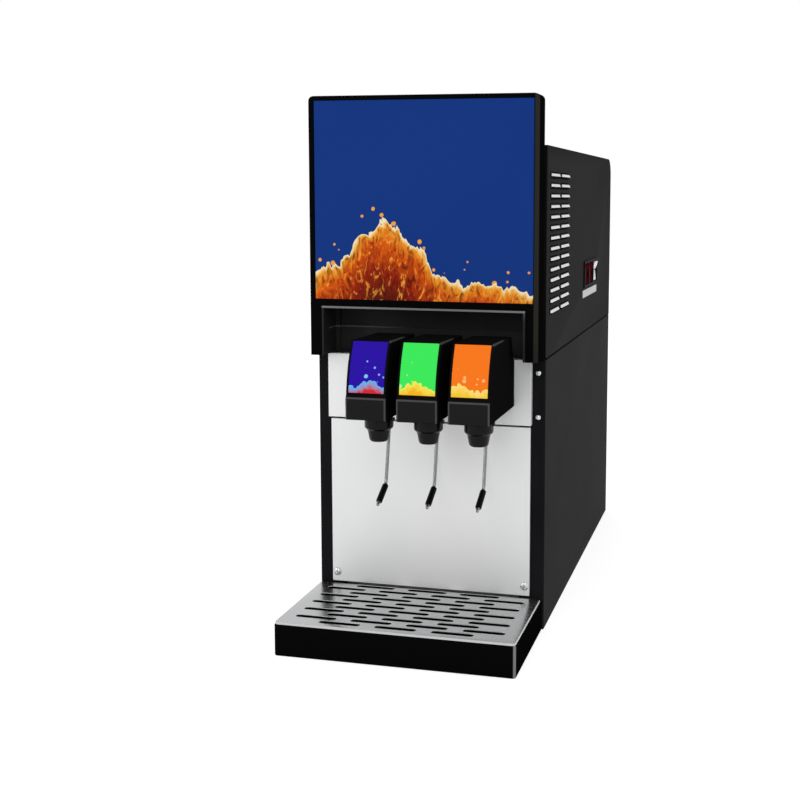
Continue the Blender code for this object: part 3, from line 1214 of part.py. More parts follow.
def fan_group():
    (x0, y0), (_, y1) = CONDENSER_LOW, CONDENSER_HIGH
    right = x0 - SHROUD_CLEARANCE
    left = right - SHROUD_THICKNESS
    middle = (y0 + y1) / 2
    hole = circle((middle, FAN_HEIGHT), FAN_RADIUS + FAN_TIP_CLEARANCE, LARGE_ROUND)
    plate = rectangle((y0, STANDING), (y1, CONDENSER_TOP))
    prism("fan_shroud", "X", plate, left, right, PLATED_STEEL, [hole])
    fan_x = right - FAN_HUB[1] / 2
    length = FAN_RADIUS - FAN_HUB[0] / 2
    motor_right = fan_x - FAN_HUB[1] / 2 - FAN_MOTOR_CLEARANCE
    shaft_end = motor_right - FAN_SHAFT_LENGTH + SHAFT_CLEARANCE
    shaft = (FAN_SHAFT_RADIUS, shaft_end - fan_x, 0)
    place = (fan_x, middle, FAN_HEIGHT)
    rotor("fan", FAN_HUB, FAN_BLADES, length, FAN_BLADE_CHORD, FAN_BLADE_PITCH, shaft, FAN_GREY, place, "X")
    bore = FAN_SHAFT_RADIUS + SHAFT_CLEARANCE
    profile = [(0, -FAN_MOTOR_LENGTH), (FAN_MOTOR_RADIUS, -FAN_MOTOR_LENGTH), (FAN_MOTOR_RADIUS, 0), (0, 0)]
    motor = turned("fan_motor", profile, MOTOR_BLACK, (motor_right, middle, FAN_HEIGHT), "X")
    centred(motor)
    foot_x, foot_y = FAN_MOTOR_FOOT
    foot_middle = motor_right - FAN_MOTOR_LENGTH / 2
    foot = box(
        "foot",
        (foot_middle - foot_x / 2, middle - foot_y / 2, STANDING),
        (foot_middle + foot_x / 2, middle + foot_y / 2, FAN_HEIGHT),
    )
    shaped(motor, [foot], "UNION")
    profile = [(bore, -FAN_SHAFT_LENGTH), (bore, OVERRUN)]
    socket = turned("socket", profile, place=(motor_right, middle, FAN_HEIGHT), axis="X", sides=SMALL_ROUND)
    smoothed(shaped(motor, [socket]))


def compressor():
    x, y = COMPRESSOR_PLACE
    radius, height = COMPRESSOR_RADIUS, COMPRESSOR_HEIGHT
    dome = [(r, height - radius / 2 + h) for r, h in quarter(radius, radius / 2)]
    waist = COMPRESSOR_LEG + COMPRESSOR_BASE_THICKNESS / 2
    profile = [(0, waist), (radius, waist), *dome]
    body = turned("compressor", profile, MOTOR_BLACK, (x, y, STANDING), sides=LARGE_ROUND)
    centred(body)
    half_x, half_y = COMPRESSOR_BASE[0] / 2, COMPRESSOR_BASE[1] / 2
    low = STANDING + COMPRESSOR_LEG
    high = low + COMPRESSOR_BASE_THICKNESS
    base = box("base", (x - half_x, y - half_y, low), (x + half_x, y + half_y, high))
    legs = []
    for sx in (-1, 1):
        for sy in (-1, 1):
            place = (x + sx * (half_x - COMPRESSOR_LEG), y + sy * (half_y - COMPRESSOR_LEG), STANDING)
            leg_top = COMPRESSOR_LEG + COMPRESSOR_STUD
            profile = [(COMPRESSOR_LEG_RADIUS, 0), (COMPRESSOR_LEG_RADIUS, leg_top)]
            legs.append(turned("leg", profile, place=place, sides=SMALL_ROUND))
    smoothed(shaped(body, [base, *legs], "UNION"))


def tanks_and_pump():
    x, y = CARBONATOR_PLACE
    radius, height, dome = CARBONATOR_RADIUS, CARBONATOR_HEIGHT, CARBONATOR_DOME
    shoulder = radius - dome / 2
    profile = [
        (0, 0),
        (shoulder, 0),
        (radius, dome),
        (radius, height - dome),
        (shoulder, height),
        (0, height),
    ]
    smoothed(turned("carbonator", profile, TANK_STEEL, (x, y, STANDING)))

    x, y = PUMP_PLACE
    axis_height = STANDING + PUMP_FOOT_RISE + PUMP_MOTOR_RADIUS
    half = PUMP_MOTOR_LENGTH / 2
    profile = [
        (0, -half - PUMP_HEAD_LENGTH),
        (PUMP_HEAD_RADIUS, -half - PUMP_HEAD_LENGTH),
        (PUMP_HEAD_RADIUS, -half),
        (PUMP_MOTOR_RADIUS, -half),
        (PUMP_MOTOR_RADIUS, half),
        (0, half),
    ]
    pump = turned("water_pump", profile, MOTOR_SILVER, (x, y, axis_height), "Y")
    centred(pump)
    foot_x, foot_y = PUMP_FOOT[0] / 2, PUMP_FOOT[1] / 2
    foot_top = axis_height - PUMP_MOTOR_RADIUS / 2
    foot = box("foot", (x - foot_x, y - foot_y, STANDING), (x + foot_x, y + foot_y, foot_top))
    smoothed(shaped(pump, [foot], "UNION"))


def control_box():
    top = STANDING + CONTROL_BOX_HEIGHT
    case = box("control_box", (*CONTROL_BOX_LOW, STANDING), (*CONTROL_BOX_HIGH, top), CONTROL_GREY)
    bevel = case.modifiers.new("edges", "BEVEL")
    bevel.width = SHELL_BEVEL
    bevel.segments = 1


# Inlets at the back
def inlets():
    outside = CABINET_DEPTH - SHEET - GAP
    ridge = BARB_RADIUS + BARB_RIDGE
    for name, x in INLET_XS.items():
        profile = [(0, -INLET_STUB), (INLET_STUB_RADIUS, -INLET_STUB), (INLET_STUB_RADIUS, GAP)]
        profile += [(INLET_NUT_RADIUS, GAP), (INLET_NUT_RADIUS, GAP + INLET_NUT)]
        for k in range(BARB_COUNT):
            start = GAP + INLET_NUT + k * BARB_PITCH
            profile += [(BARB_RADIUS, start), (ridge, start + GAP)] if k else [(ridge, start)]
            profile.append((BARB_RADIUS, start + BARB_PITCH - GAP))
        profile.append((0, GAP + INLET_NUT + BARB_COUNT * BARB_PITCH))
        smoothed(turned(name, profile, BRASS, (x, outside, INLET_HEIGHT), "Y", SMALL_ROUND))
    x, z = POWER_INLET_PLACE
    dx, dz = (size / 2 for size in POWER_INLET_SIZE)
    low, high = outside + GAP, outside + GAP + POWER_INLET_RIM
    socket = centred(box("power_inlet", (x - dx, low, z - dz), (x + dx, high, z + dz), SWITCH_BLACK))
    dx, dz = dx - POWER_INLET_BODY_MARGIN, dz - POWER_INLET_BODY_MARGIN
    middle = (low + high) / 2
    housing = box("housing", (x - dx, outside - POWER_INLET_DEPTH, z - dz), (x + dx, middle, z + dz))
    shaped(socket, [housing], "UNION")
    dx, dz = (size / 2 - margin for size, margin in zip(POWER_INLET_SIZE, POWER_INLET_RECESS_MARGINS))
    recess = box("recess", (x - dx, high - POWER_INLET_RECESS, z - dz), (x + dx, high + OVERRUN, z + dz))
    shaped(socket, [recess])


pan_and_sides()
rear_panel()
top_cover()
head_mount_plate()
light_head()
bay_hood()
front_panels()
screws()
drip_tray()
valves()
switches()
bath()
agitator()
deck()
condenser()
fan_group()
compressor()
tanks_and_pump()
control_box()
inlets()
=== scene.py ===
import math

import bmesh
import bpy
from mathutils import Matrix, Vector


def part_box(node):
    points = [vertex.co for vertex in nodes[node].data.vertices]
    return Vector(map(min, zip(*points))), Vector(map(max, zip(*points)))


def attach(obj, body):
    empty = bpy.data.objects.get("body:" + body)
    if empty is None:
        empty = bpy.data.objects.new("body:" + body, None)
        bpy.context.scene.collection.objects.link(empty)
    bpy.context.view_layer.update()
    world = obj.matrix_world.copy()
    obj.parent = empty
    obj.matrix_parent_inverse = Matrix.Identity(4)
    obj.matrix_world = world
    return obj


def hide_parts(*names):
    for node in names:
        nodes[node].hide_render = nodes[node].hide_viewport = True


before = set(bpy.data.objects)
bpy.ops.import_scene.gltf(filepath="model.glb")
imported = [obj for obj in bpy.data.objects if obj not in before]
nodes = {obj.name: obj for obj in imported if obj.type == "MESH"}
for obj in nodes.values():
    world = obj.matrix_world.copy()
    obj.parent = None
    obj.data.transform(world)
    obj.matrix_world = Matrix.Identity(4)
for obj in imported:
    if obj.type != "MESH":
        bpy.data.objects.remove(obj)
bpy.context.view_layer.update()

# Camera: a long view from the right of the front, a little above the valves and looking slightly down.
# Its place, turn and lens come from a fit to the photograph's edges, whose frame was cropped off-centre.
CAMERA_PLACE = (0.4140, -1.7124, 0.5491)
CAMERA_YAW, CAMERA_PITCH, CAMERA_ROLL = (math.radians(a) for a in (13.019, 6.063, 0.265))
forward = Vector((
    -math.sin(CAMERA_YAW) * math.cos(CAMERA_PITCH),
    math.cos(CAMERA_YAW) * math.cos(CAMERA_PITCH),
    -math.sin(CAMERA_PITCH),
))
level = Vector((math.cos(CAMERA_YAW), math.sin(CAMERA_YAW), 0))
roll = Matrix.Rotation(CAMERA_ROLL, 3, -forward)
right, up = roll @ level, roll @ level.cross(forward)
camera = bpy.data.objects.new("camera", bpy.data.cameras.new("camera"))
camera.data.lens = 52.66
camera.data.sensor_width = 36
camera.data.shift_x, camera.data.shift_y = -0.12, -0.10
camera.matrix_world = Matrix.Translation(CAMERA_PLACE) @ Matrix((right, up, -forward)).transposed().to_4x4()
bpy.context.scene.collection.objects.link(camera)
bpy.context.scene.camera = camera
bpy.context.scene.view_settings.view_transform = "Standard"


# Studio: white seamless surroundings, a tall narrow soft box at the front left, one at the right, and a wide
# one above the camera. Metal sees the same white that the camera does, and the level stays plain.
def add(tree, kind, inputs=None, **settings):
    """A new node with its settings; an input takes a value or an earlier node's output."""
    made = tree.nodes.new(kind)
    for name, value in settings.items():
        setattr(made, name, value)
    for key, value in (inputs or {}).items():
        if isinstance(value, bpy.types.NodeSocket):
            tree.links.new(value, made.inputs[key])
        else:
            made.inputs[key].default_value = value
    return made


def seen_directly(tree):
    """1 for what the camera sees straight, in a mirror or through glass, else 0."""
    path = add(tree, "ShaderNodeLightPath").outputs
    seen = add(
        tree, "ShaderNodeMath", {0: path["Is Camera Ray"], 1: path["Is Glossy Ray"]}, operation="MAXIMUM"
    )
    return add(
        tree, "ShaderNodeMath", {0: seen.outputs[0], 1: path["Is Transmission Ray"]}, operation="MAXIMUM"
    ).outputs[0]


WORLD_LEVEL = 0.62
FLOOR_LIFT = 0.62
world = bpy.data.worlds.new("studio")
bpy.context.scene.world = world
world.use_nodes = True
tree = world.node_tree
tree.nodes.clear()
strength = add(
    tree, "ShaderNodeMapRange", {"Value": seen_directly(tree), "To Min": WORLD_LEVEL, "To Max": 1.0}
)
sky = add(tree, "ShaderNodeBackground", {"Color": (1, 1, 1, 1), "Strength": strength.outputs[0]})
add(tree, "ShaderNodeOutputWorld", {"Surface": sky.outputs[0]})

for name, place, size, power in (
    ("left_strip", (-1.5, -2.1, 1.2), (0.16, 1.6), 11),
    ("right_strip", (2.2, -0.1, 1.0), (0.12, 1.6), 7),
    ("front_soft_box", (0.6, -2.6, 1.9), (1.2, 1.0), 10),
):
    lamp = bpy.data.objects.new(name, bpy.data.lights.new(name, "AREA"))
    lamp.data.shape = "RECTANGLE"
    lamp.data.size, lamp.data.size_y = size
    lamp.data.energy = power
    lamp.location = place
    lamp.rotation_euler = (Vector((0, -0.1, 0.3)) - Vector(place)).to_track_quat("-Z", "Y").to_euler()
    bpy.context.scene.collection.objects.link(lamp)

floor = bpy.data.objects.new("floor", bpy.data.meshes.new("floor"))
floor.data.from_pydata([(-6, -6, 0), (6, -6, 0), (6, 6, 0), (-6, 6, 0)], [], [(0, 1, 2, 3)])
bpy.context.scene.collection.objects.link(floor)
floor.location.z = -0.0002
paper = bpy.data.materials.new("floor_paper")
paper.use_nodes = True
tree = paper.node_tree
tree.nodes.clear()
matt = add(tree, "ShaderNodeBsdfDiffuse", {"Color": (0.80, 0.80, 0.80, 1)})
lift = add(tree, "ShaderNodeMath", {0: seen_directly(tree), 1: FLOOR_LIFT}, operation="MULTIPLY")
glow = add(tree, "ShaderNodeEmission", {"Strength": lift.outputs[0]})
both = add(tree, "ShaderNodeAddShader", {0: matt.outputs[0], 1: glow.outputs[0]})
add(tree, "ShaderNodeOutputMaterial", {"Surface": both.outputs[0]})
floor.data.materials.append(paper)


# Cabinet sheets: folded mild steel under satin black powder coat, in two halves with a seam between them.
# The coat has a fine orange-peel skin, and it reflects little except along the folds.
MM = 0.001


def srgb(hex_colour):
    """A linear colour from sRGB hex digits."""
    channels = [int(hex_colour[k : k + 2], 16) / 255 for k in (0, 2, 4)]
    return (*(c / 12.92 if c <= 0.04045 else ((c + 0.055) / 1.055) ** 2.4 for c in channels), 1)


def surface(name, colour, roughness, metallic=0.0, level=0.5):
    """A material with its shader and the piece's own coordinates in metres."""
    made = bpy.data.materials.new(name)
    made.use_nodes = True
    made.diffuse_color = srgb(colour)
    shader = made.node_tree.nodes["Principled BSDF"]
    shader.inputs["Base Color"].default_value = srgb(colour)
    shader.inputs["Roughness"].default_value = roughness
    shader.inputs["Metallic"].default_value = metallic
    shader.inputs["Specular IOR Level"].default_value = level
    return made, made.node_tree, shader, add(made.node_tree, "ShaderNodeTexCoord").outputs["Object"]


def grained(tree, shader, where, size, depth, stretch=(1, 1, 1), rough=None):
    """Gives a surface a grain of one size, in metres, as bump and, between two limits, as roughness."""
    spread = add(tree, "ShaderNodeMapping", {"Vector": where, "Scale": stretch})
    noise = add(tree, "ShaderNodeTexNoise", {"Vector": spread.outputs[0], "Scale": 1 / size, "Detail": 3.0})
    bump = add(tree, "ShaderNodeBump", {"Height": noise.outputs["Fac"], "Strength": 1.0, "Distance": depth})
    tree.links.new(bump.outputs[0], shader.inputs["Normal"])
    if rough:
        limits = {
            "Value": noise.outputs["Fac"], "From Min": 0.3,
            "From Max": 0.7, "To Min": rough[0], "To Max": rough[1]
        }
        tree.links.new(add(tree, "ShaderNodeMapRange", limits).outputs[0], shader.inputs["Roughness"])
    return noise.outputs["Fac"]


def toned(tree, shader, where, size, colours, stretch=(1, 1, 1), limits=(0.35, 0.65)):
    """Varies a surface's colour softly between two, over patches of one size in metres."""
    spread = add(tree, "ShaderNodeMapping", {"Vector": where, "Scale": stretch})
    noise = add(tree, "ShaderNodeTexNoise", {"Vector": spread.outputs[0], "Scale": 1 / size, "Detail": 4.0})
    share = add(
        tree, "ShaderNodeMapRange",
        {"Value": noise.outputs["Fac"], "From Min": limits[0], "From Max": limits[1]}
    )
    colours = {6: srgb(colours[0]), 7: srgb(colours[1])}
    mix = add(tree, "ShaderNodeMix", {"Factor": share.outputs[0], **colours}, data_type="RGBA")
    tree.links.new(mix.outputs[2], shader.inputs["Base Color"])


def dress(node, finish, edge=0.0, segments=2, angle=32):
    """Gives a CAD node its finish and, with an edge radius in metres, soft edges."""
    obj = nodes[node]
    obj.data.materials.clear()
    obj.data.materials.append(finish)
    obj.data.shade_smooth()
    weld = obj.modifiers.new("weld", "WELD")
    weld.merge_threshold = 0.00002
    if edge:
        bevel = obj.modifiers.new("soft_edges", "BEVEL")
        bevel.width = edge
        bevel.segments = segments
        bevel.limit_method = "ANGLE"
        bevel.angle_limit = math.radians(angle)
        bevel.harden_normals = True
        bevel.miter_outer = "MITER_ARC"
    even = obj.modifiers.new("even_normals", "WEIGHTED_NORMAL")
    even.keep_sharp = True
    return obj


black_coat, tree, shader, where = surface("powder_coat_black", "151517", 0.66, level=0.025)
grained(tree, shader, where, 0.9 * MM, 0.02 * MM, rough=(0.60, 0.74))
toned(tree, shader, where, 120 * MM, ("111112", "171718"))
SEAM_SHADE = 1.6 * MM
side_coat, tree, shader, where = surface("powder_coat_sides", "171719", 0.66, level=0.025)
grained(tree, shader, where, 0.9 * MM, 0.02 * MM, rough=(0.60, 0.74))
toned(tree, shader, where, 120 * MM, ("161618", "1c1c1e"))
# A near-black band at the top of the side panels is painted shade along the seam.
place = add(tree, "ShaderNodeSeparateXYZ", {"Vector": where})
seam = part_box("side_panel_right")[1].z - 0.6 * SEAM_SHADE
seam_shadow_band = add(
    tree, "ShaderNodeMapRange",
    {"Value": place.outputs["Z"], "From Min": seam - 0.2 * MM, "From Max": seam + 0.2 * MM}
)
even = shader.inputs["Base Color"].links[0].from_socket
seam_shadow_band = add(tree, "ShaderNodeMix", {"Factor": seam_shadow_band.outputs[0], 6: even, 7: srgb("030303")}, data_type="RGBA")
tree.links.new(seam_shadow_band.outputs[2], shader.inputs["Base Color"])
for name in ("side_panel_left", "side_panel_right"):
    dress(name, side_coat, 0.3 * MM, 1, 40)
for name in ("base_pan", "rear_panel", "head_mount_plate"):
    dress(name, black_coat, 0.3 * MM, 1)

# Upper cover: one folded sheet in the same coat, with louvres pressed outward in two columns on each side.
# The coat is even. The crowns are painted pale, a painted highlight for lit hoods, and the roots and the
# strips below the openings are painted dark, a painted shade for shadowed openings. These marks stay put from
# every side.
cover_coat, tree, shader, where = surface("powder_coat_cover", "1b1b1c", 0.66, level=0.003)
grained(tree, shader, where, 0.9 * MM, 0.02 * MM, rough=(0.60, 0.74))
cover_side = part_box("side_panel_right")[1].x
cover_low, cover_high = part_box("top_cover")
across = add(tree, "ShaderNodeSeparateXYZ", {"Vector": where})
reach = add(tree, "ShaderNodeMath", {0: across.outputs["X"]}, operation="ABSOLUTE")
root = {"Value": reach.outputs[0], "From Min": cover_side + 0.05 * MM, "From Max": cover_side + 0.3 * MM}
root = add(tree, "ShaderNodeMapRange", root)
LOUVRE_PITCH, LOUVRE_HEIGHT, LOUVRE_ROWS = 13.15 * MM, 7.2 * MM, 14
LOUVRE_DROP, LOUVRE_FRONT, LOUVRE_BACK = 30 * MM, 20 * MM, 156 * MM
louvre_top = cover_high.z - LOUVRE_DROP
down = add(tree, "ShaderNodeMath", {0: louvre_top, 1: across.outputs["Z"]}, operation="SUBTRACT")
step = add(tree, "ShaderNodeMath", {0: down.outputs[0], 1: LOUVRE_PITCH}, operation="FLOORED_MODULO")
masks = []
for value, start, end in (
    (step.outputs[0], LOUVRE_HEIGHT - 0.3 * MM, LOUVRE_HEIGHT + 0.3 * MM),
    (step.outputs[0], LOUVRE_HEIGHT + 3.6 * MM, LOUVRE_HEIGHT + 2.6 * MM),
    (down.outputs[0], 0, 1 * MM),
    (down.outputs[0], LOUVRE_ROWS * LOUVRE_PITCH, LOUVRE_ROWS * LOUVRE_PITCH - 1 * MM),
    (across.outputs["Y"], cover_low.y + LOUVRE_FRONT, cover_low.y + LOUVRE_FRONT + 4 * MM),
    (across.outputs["Y"], cover_low.y + LOUVRE_BACK, cover_low.y + LOUVRE_BACK - 4 * MM),
):
    masks.append(
        add(tree, "ShaderNodeMapRange", {"Value": value, "From Min": start, "From Max": end}).outputs[0]
    )
# Painted shade on the louvre roots and on the strips below the openings.
louvre_shade = masks[0]
for mask in masks[1:]:
    louvre_shade = add(tree, "ShaderNodeMath", {0: louvre_shade, 1: mask}, operation="MULTIPLY").outputs[0]
louvre_shade = add(tree, "ShaderNodeMath", {0: louvre_shade, 1: root.outputs[0]}, operation="MAXIMUM")
# The even tone 2e2e2f, lighter than the lower sheets' coat, is a painted sheen.
dark = {"Factor": louvre_shade.outputs[0], 6: srgb("2e2e2f"), 7: srgb("050505")}
dark = add(tree, "ShaderNodeMix", dark, data_type="RGBA")
# Painted highlight on the louvre crowns.
crown = {"Value": reach.outputs[0], "From Min": cover_side + 1.2 * MM, "From Max": cover_side + 1.7 * MM}
crown = add(tree, "ShaderNodeMapRange", crown)
bright = {"Factor": crown.outputs[0], 6: dark.outputs[2], 7: srgb("f6f6f6")}
bright = add(tree, "ShaderNodeMix", bright, data_type="RGBA")
# A near-black band at the cover's foot is painted shade along the seam.
seam_shade_edge = {
    "Value": across.outputs["Z"], "From Min": cover_low.z + SEAM_SHADE + 0.3 * MM,
    "From Max": cover_low.z + SEAM_SHADE
}
seam_shade_edge = add(tree, "ShaderNodeMapRange", seam_shade_edge)
seam_shaded_coat = {"Factor": seam_shade_edge.outputs[0], 6: bright.outputs[2], 7: srgb("040404")}
seam_shaded_coat = add(tree, "ShaderNodeMix", seam_shaded_coat, data_type="RGBA")
tree.links.new(seam_shaded_coat.outputs[2], shader.inputs["Base Color"])
dress("top_cover", cover_coat, 0)

# Light head: a fabricated matt black frame with softened outer corners, screwed to the plate on the front.
# Its long front edge at the right is painted grey: a painted highlight.
head_coat, tree, shader, where = surface("matt_enamel_black", "0b0b0c", 0.55, level=0.0)
grained(tree, shader, where, 0.7 * MM, 0.012 * MM, rough=(0.50, 0.62))
head_low, head_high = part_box("head_frame")
place = add(tree, "ShaderNodeSeparateXYZ", {"Vector": where})
# Painted highlight along the frame's front right edge.
outer = {"Value": place.outputs["X"], "From Min": head_high.x - 6.4 * MM, "From Max": head_high.x - 4.8 * MM}
outer = add(tree, "ShaderNodeMapRange", outer)
front = {"Value": place.outputs["Y"], "From Min": head_low.y + 2.0 * MM, "From Max": head_low.y + 0.6 * MM}
front = add(tree, "ShaderNodeMapRange", front)
painted_edge_highlight = add(tree, "ShaderNodeMath", {0: outer.outputs[0], 1: front.outputs[0]}, operation="MULTIPLY")
painted_edge_highlight = add(
    tree, "ShaderNodeMix", {"Factor": painted_edge_highlight.outputs[0], 6: srgb("0b0b0c"), 7: srgb("302e2a")}, data_type="RGBA"
)
tree.links.new(painted_edge_highlight.outputs[2], shader.inputs["Base Color"])
dress("head_frame", head_coat, 1.8 * MM, 4)

# Hood of the valve bay: a black liner pushed in from the front, whose hemmed rim stands proud of the frame.
# The rim's upper edge and the left of the ledge are painted grey: painted highlights.
hood_coat, tree, shader, where = surface("liner_enamel_black", "2c2c2c", 0.55, level=0.02)
grained(tree, shader, where, 0.7 * MM, 0.012 * MM)
hood_low, hood_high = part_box("bay_hood")
HEM = 2.6 * MM
place = add(tree, "ShaderNodeSeparateXYZ", {"Vector": where})
# Painted highlights: the rim's upper edge, a tail down its right side, and the left of the ledge line.
front = add(tree, "ShaderNodeMapRange", {
    "Value": place.outputs["Y"], "From Min": hood_low.y + 1.0 * MM, "From Max": hood_low.y + 0.2 * MM,
})
upper = add(tree, "ShaderNodeMapRange", {
    "Value": place.outputs["Z"], "From Min": hood_high.z - 1.05 * HEM, "From Max": hood_high.z - 0.9 * HEM,
})
side = add(tree, "ShaderNodeMapRange", {
    "Value": place.outputs["X"], "From Min": hood_high.x - 1.05 * HEM, "From Max": hood_high.x - 0.9 * HEM,
})
fade = add(tree, "ShaderNodeMapRange", {
    "Value": place.outputs["Z"], "From Min": hood_high.z - 13 * MM, "From Max": hood_high.z, "To Max": 0.30,
})
tail = add(tree, "ShaderNodeMath", {0: side.outputs[0], 1: fade.outputs[0]}, operation="MULTIPLY")
painted_edge_highlight = add(tree, "ShaderNodeMath", {0: upper.outputs[0], 1: tail.outputs[0]}, operation="MAXIMUM")
painted_edge_highlight = add(tree, "ShaderNodeMath", {0: painted_edge_highlight.outputs[0], 1: front.outputs[0]}, operation="MULTIPLY")
LEDGE_TOP, LEDGE_LINE = 380 * MM, 0.9 * MM
level = add(tree, "ShaderNodeMath", {0: place.outputs["Z"], 1: LEDGE_TOP}, operation="SUBTRACT")
level = add(tree, "ShaderNodeMath", {0: level.outputs[0]}, operation="ABSOLUTE")
level = add(
    tree, "ShaderNodeMapRange",
    {"Value": level.outputs[0], "From Min": LEDGE_LINE, "From Max": 0.8 * LEDGE_LINE}
)
deep = add(tree, "ShaderNodeMapRange", {
    "Value": place.outputs["Y"], "From Min": hood_low.y + 20 * MM, "From Max": hood_low.y + 21 * MM,
})
left = add(tree, "ShaderNodeMapRange", {
    "Value": place.outputs[
        "X"
    ], "From Min": hood_low.x + 105 * MM, "From Max": hood_low.x + 30 * MM, "To Max": 0.55,
})
ledge = add(tree, "ShaderNodeMath", {0: level.outputs[0], 1: deep.outputs[0]}, operation="MULTIPLY")
ledge = add(tree, "ShaderNodeMath", {0: ledge.outputs[0], 1: left.outputs[0]}, operation="MULTIPLY")
painted_edge_highlight = add(tree, "ShaderNodeMath", {0: painted_edge_highlight.outputs[0], 1: ledge.outputs[0]}, operation="MAXIMUM")
highlighted_rim = add(
    tree, "ShaderNodeMix", {"Factor": painted_edge_highlight.outputs[0], 6: srgb("2c2c2c"), 7: srgb("808080")}, data_type="RGBA"
)
tree.links.new(highlighted_rim.outputs[2], shader.inputs["Base Color"])
dress("bay_hood", hood_coat, 0.4 * MM, 2)

# Display: a printed acrylic sheet lit from behind by the light board in the head.
# The print is a plain wave of amber drink with a pale crest and flying drops on deep blue.
screen_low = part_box("display_panel")[0]
screen, tree, shader, where = surface("printed_acrylic_screen", "12367e", 0.20, level=0.05)
place = add(tree, "ShaderNodeSeparateXYZ", {"Vector": where})
x, z = place.outputs["X"], place.outputs["Z"]
WAVE_FOOT, WAVE_RISE, WAVE_MIDDLE, WAVE_REACH = 22 * MM, 92 * MM, -52 * MM, 58 * MM
away = add(tree, "ShaderNodeMath", {0: x, 1: WAVE_MIDDLE}, operation="SUBTRACT")
away = add(tree, "ShaderNodeMath", {0: away.outputs[0], 1: WAVE_REACH}, operation="DIVIDE")
away = add(tree, "ShaderNodeMath", {0: away.outputs[0], 1: away.outputs[0]}, operation="MULTIPLY")
away = add(tree, "ShaderNodeMath", {0: away.outputs[0], 1: 1.0}, operation="ADD")
wave = add(tree, "ShaderNodeMath", {0: WAVE_RISE, 1: away.outputs[0]}, operation="DIVIDE")
crest = add(
    tree, "ShaderNodeMath", {0: wave.outputs[0], 1: screen_low.z + WAVE_FOOT - 30 * MM}, operation="ADD"
)
lean = add(tree, "ShaderNodeMapping", {"Vector": where, "Rotation": (0, 0.55, 0), "Scale": (1, 0, 0.45)})
chop = add(
    tree, "ShaderNodeTexNoise",
    {"Vector": lean.outputs[0], "Scale": 1 / (34 * MM), "Detail": 3.0, "Distortion": 1.4}
)
crest = add(
    tree, "ShaderNodeMath", {0: chop.outputs["Fac"], 1: 70 * MM, 2: crest.outputs[0]},
    operation="MULTIPLY_ADD"
)
depth = add(tree, "ShaderNodeMath", {0: crest.outputs[0], 1: z}, operation="SUBTRACT")
depth = add(tree, "ShaderNodeMath", {0: depth.outputs[0], 1: 22 * MM}, operation="SUBTRACT")
share = add(tree, "ShaderNodeMapRange", {"Value": depth.outputs[0], "From Max": 100 * MM})
ramp = add(tree, "ShaderNodeValToRGB", {"Fac": share.outputs[0]})
DRINK_STOPS = (
    (0.0, "fff3d0"), (0.03, "fbd68a"), (0.08, "f0992a"), (0.24, "d8570f"), (0.55, "98250a"), (1.0, "5a160a"),
)
for stop, colour in DRINK_STOPS:
    step = ramp.color_ramp.elements[0] if stop == 0 else ramp.color_ramp.elements[-1]
    if 0 < stop < 1:
        step = ramp.color_ramp.elements.new(stop)
    step.position, step.color = stop, srgb(colour)
streak = add(
    tree, "ShaderNodeTexNoise",
    {"Vector": lean.outputs[0], "Scale": 1 / (9 * MM), "Detail": 3.0, "Distortion": 2.2}
)
shade = add(
    tree, "ShaderNodeMapRange",
    {"Value": streak.outputs["Fac"], "From Min": 0.50, "From Max": 0.68, "To Max": 0.8}
)
drink = {"Factor": shade.outputs[0], 6: ramp.outputs["Color"], 7: srgb("4a0d05")}
drink = add(tree, "ShaderNodeMix", drink, data_type="RGBA")
gleam = add(
    tree, "ShaderNodeMapRange",
    {"Value": streak.outputs["Fac"], "From Min": 0.42, "From Max": 0.30, "To Max": 0.85}
)
drink = {"Factor": gleam.outputs[0], 6: drink.outputs[2], 7: srgb("fbae3c")}
drink = add(tree, "ShaderNodeMix", drink, data_type="RGBA")
foam = add(tree, "ShaderNodeMapRange", {"Value": depth.outputs[0], "From Min": 7 * MM, "From Max": 2 * MM})
drink = {"Factor": foam.outputs[0], 6: drink.outputs[2], 7: ramp.outputs["Color"]}
drink = add(tree, "ShaderNodeMix", drink, data_type="RGBA")
inside = add(
    tree, "ShaderNodeMapRange", {"Value": depth.outputs[0], "From Min": -0.4 * MM, "From Max": 0.4 * MM}
)
flying = add(tree, "ShaderNodeTexVoronoi", {"Vector": where, "Scale": 1 / (14 * MM), "Randomness": 1.0})
near = add(tree, "ShaderNodeMapRange", {
    "Value": depth.outputs[0], "From Min": -58 * MM, "From Max": -2 * MM, "To Min": -0.08, "To Max": 0.24,
})
drop = add(tree, "ShaderNodeMath", {0: near.outputs[0], 1: flying.outputs["Distance"]}, operation="SUBTRACT")
drop = add(tree, "ShaderNodeMapRange", {"Value": drop.outputs[0], "From Max": 0.03})
glowing = add(tree, "ShaderNodeTexNoise", {"Vector": where, "Scale": 1 / (180 * MM), "Detail": 1.0})
blue = {"Factor": glowing.outputs["Fac"], 6: srgb("0f3480"), 7: srgb("153882")}
blue = add(tree, "ShaderNodeMix", blue, data_type="RGBA")
around = add(
    tree, "ShaderNodeMix",
    {"Factor": drop.outputs[0], 6: blue.outputs[2], 7: srgb("f3a63c")}, data_type="RGBA"
)
art = add(
    tree, "ShaderNodeMix",
    {"Factor": inside.outputs[0], 6: around.outputs[2], 7: drink.outputs[2]}, data_type="RGBA"
)
halved = add(tree, "ShaderNodeHueSaturation", {"Value": 0.5, "Color": art.outputs[2]})
tree.links.new(halved.outputs[0], shader.inputs["Base Color"])
tree.links.new(art.outputs[2], shader.inputs["Emission Color"])
shader.inputs["Emission Strength"].default_value = 0.5
dress("display_panel", screen, 0.4 * MM)

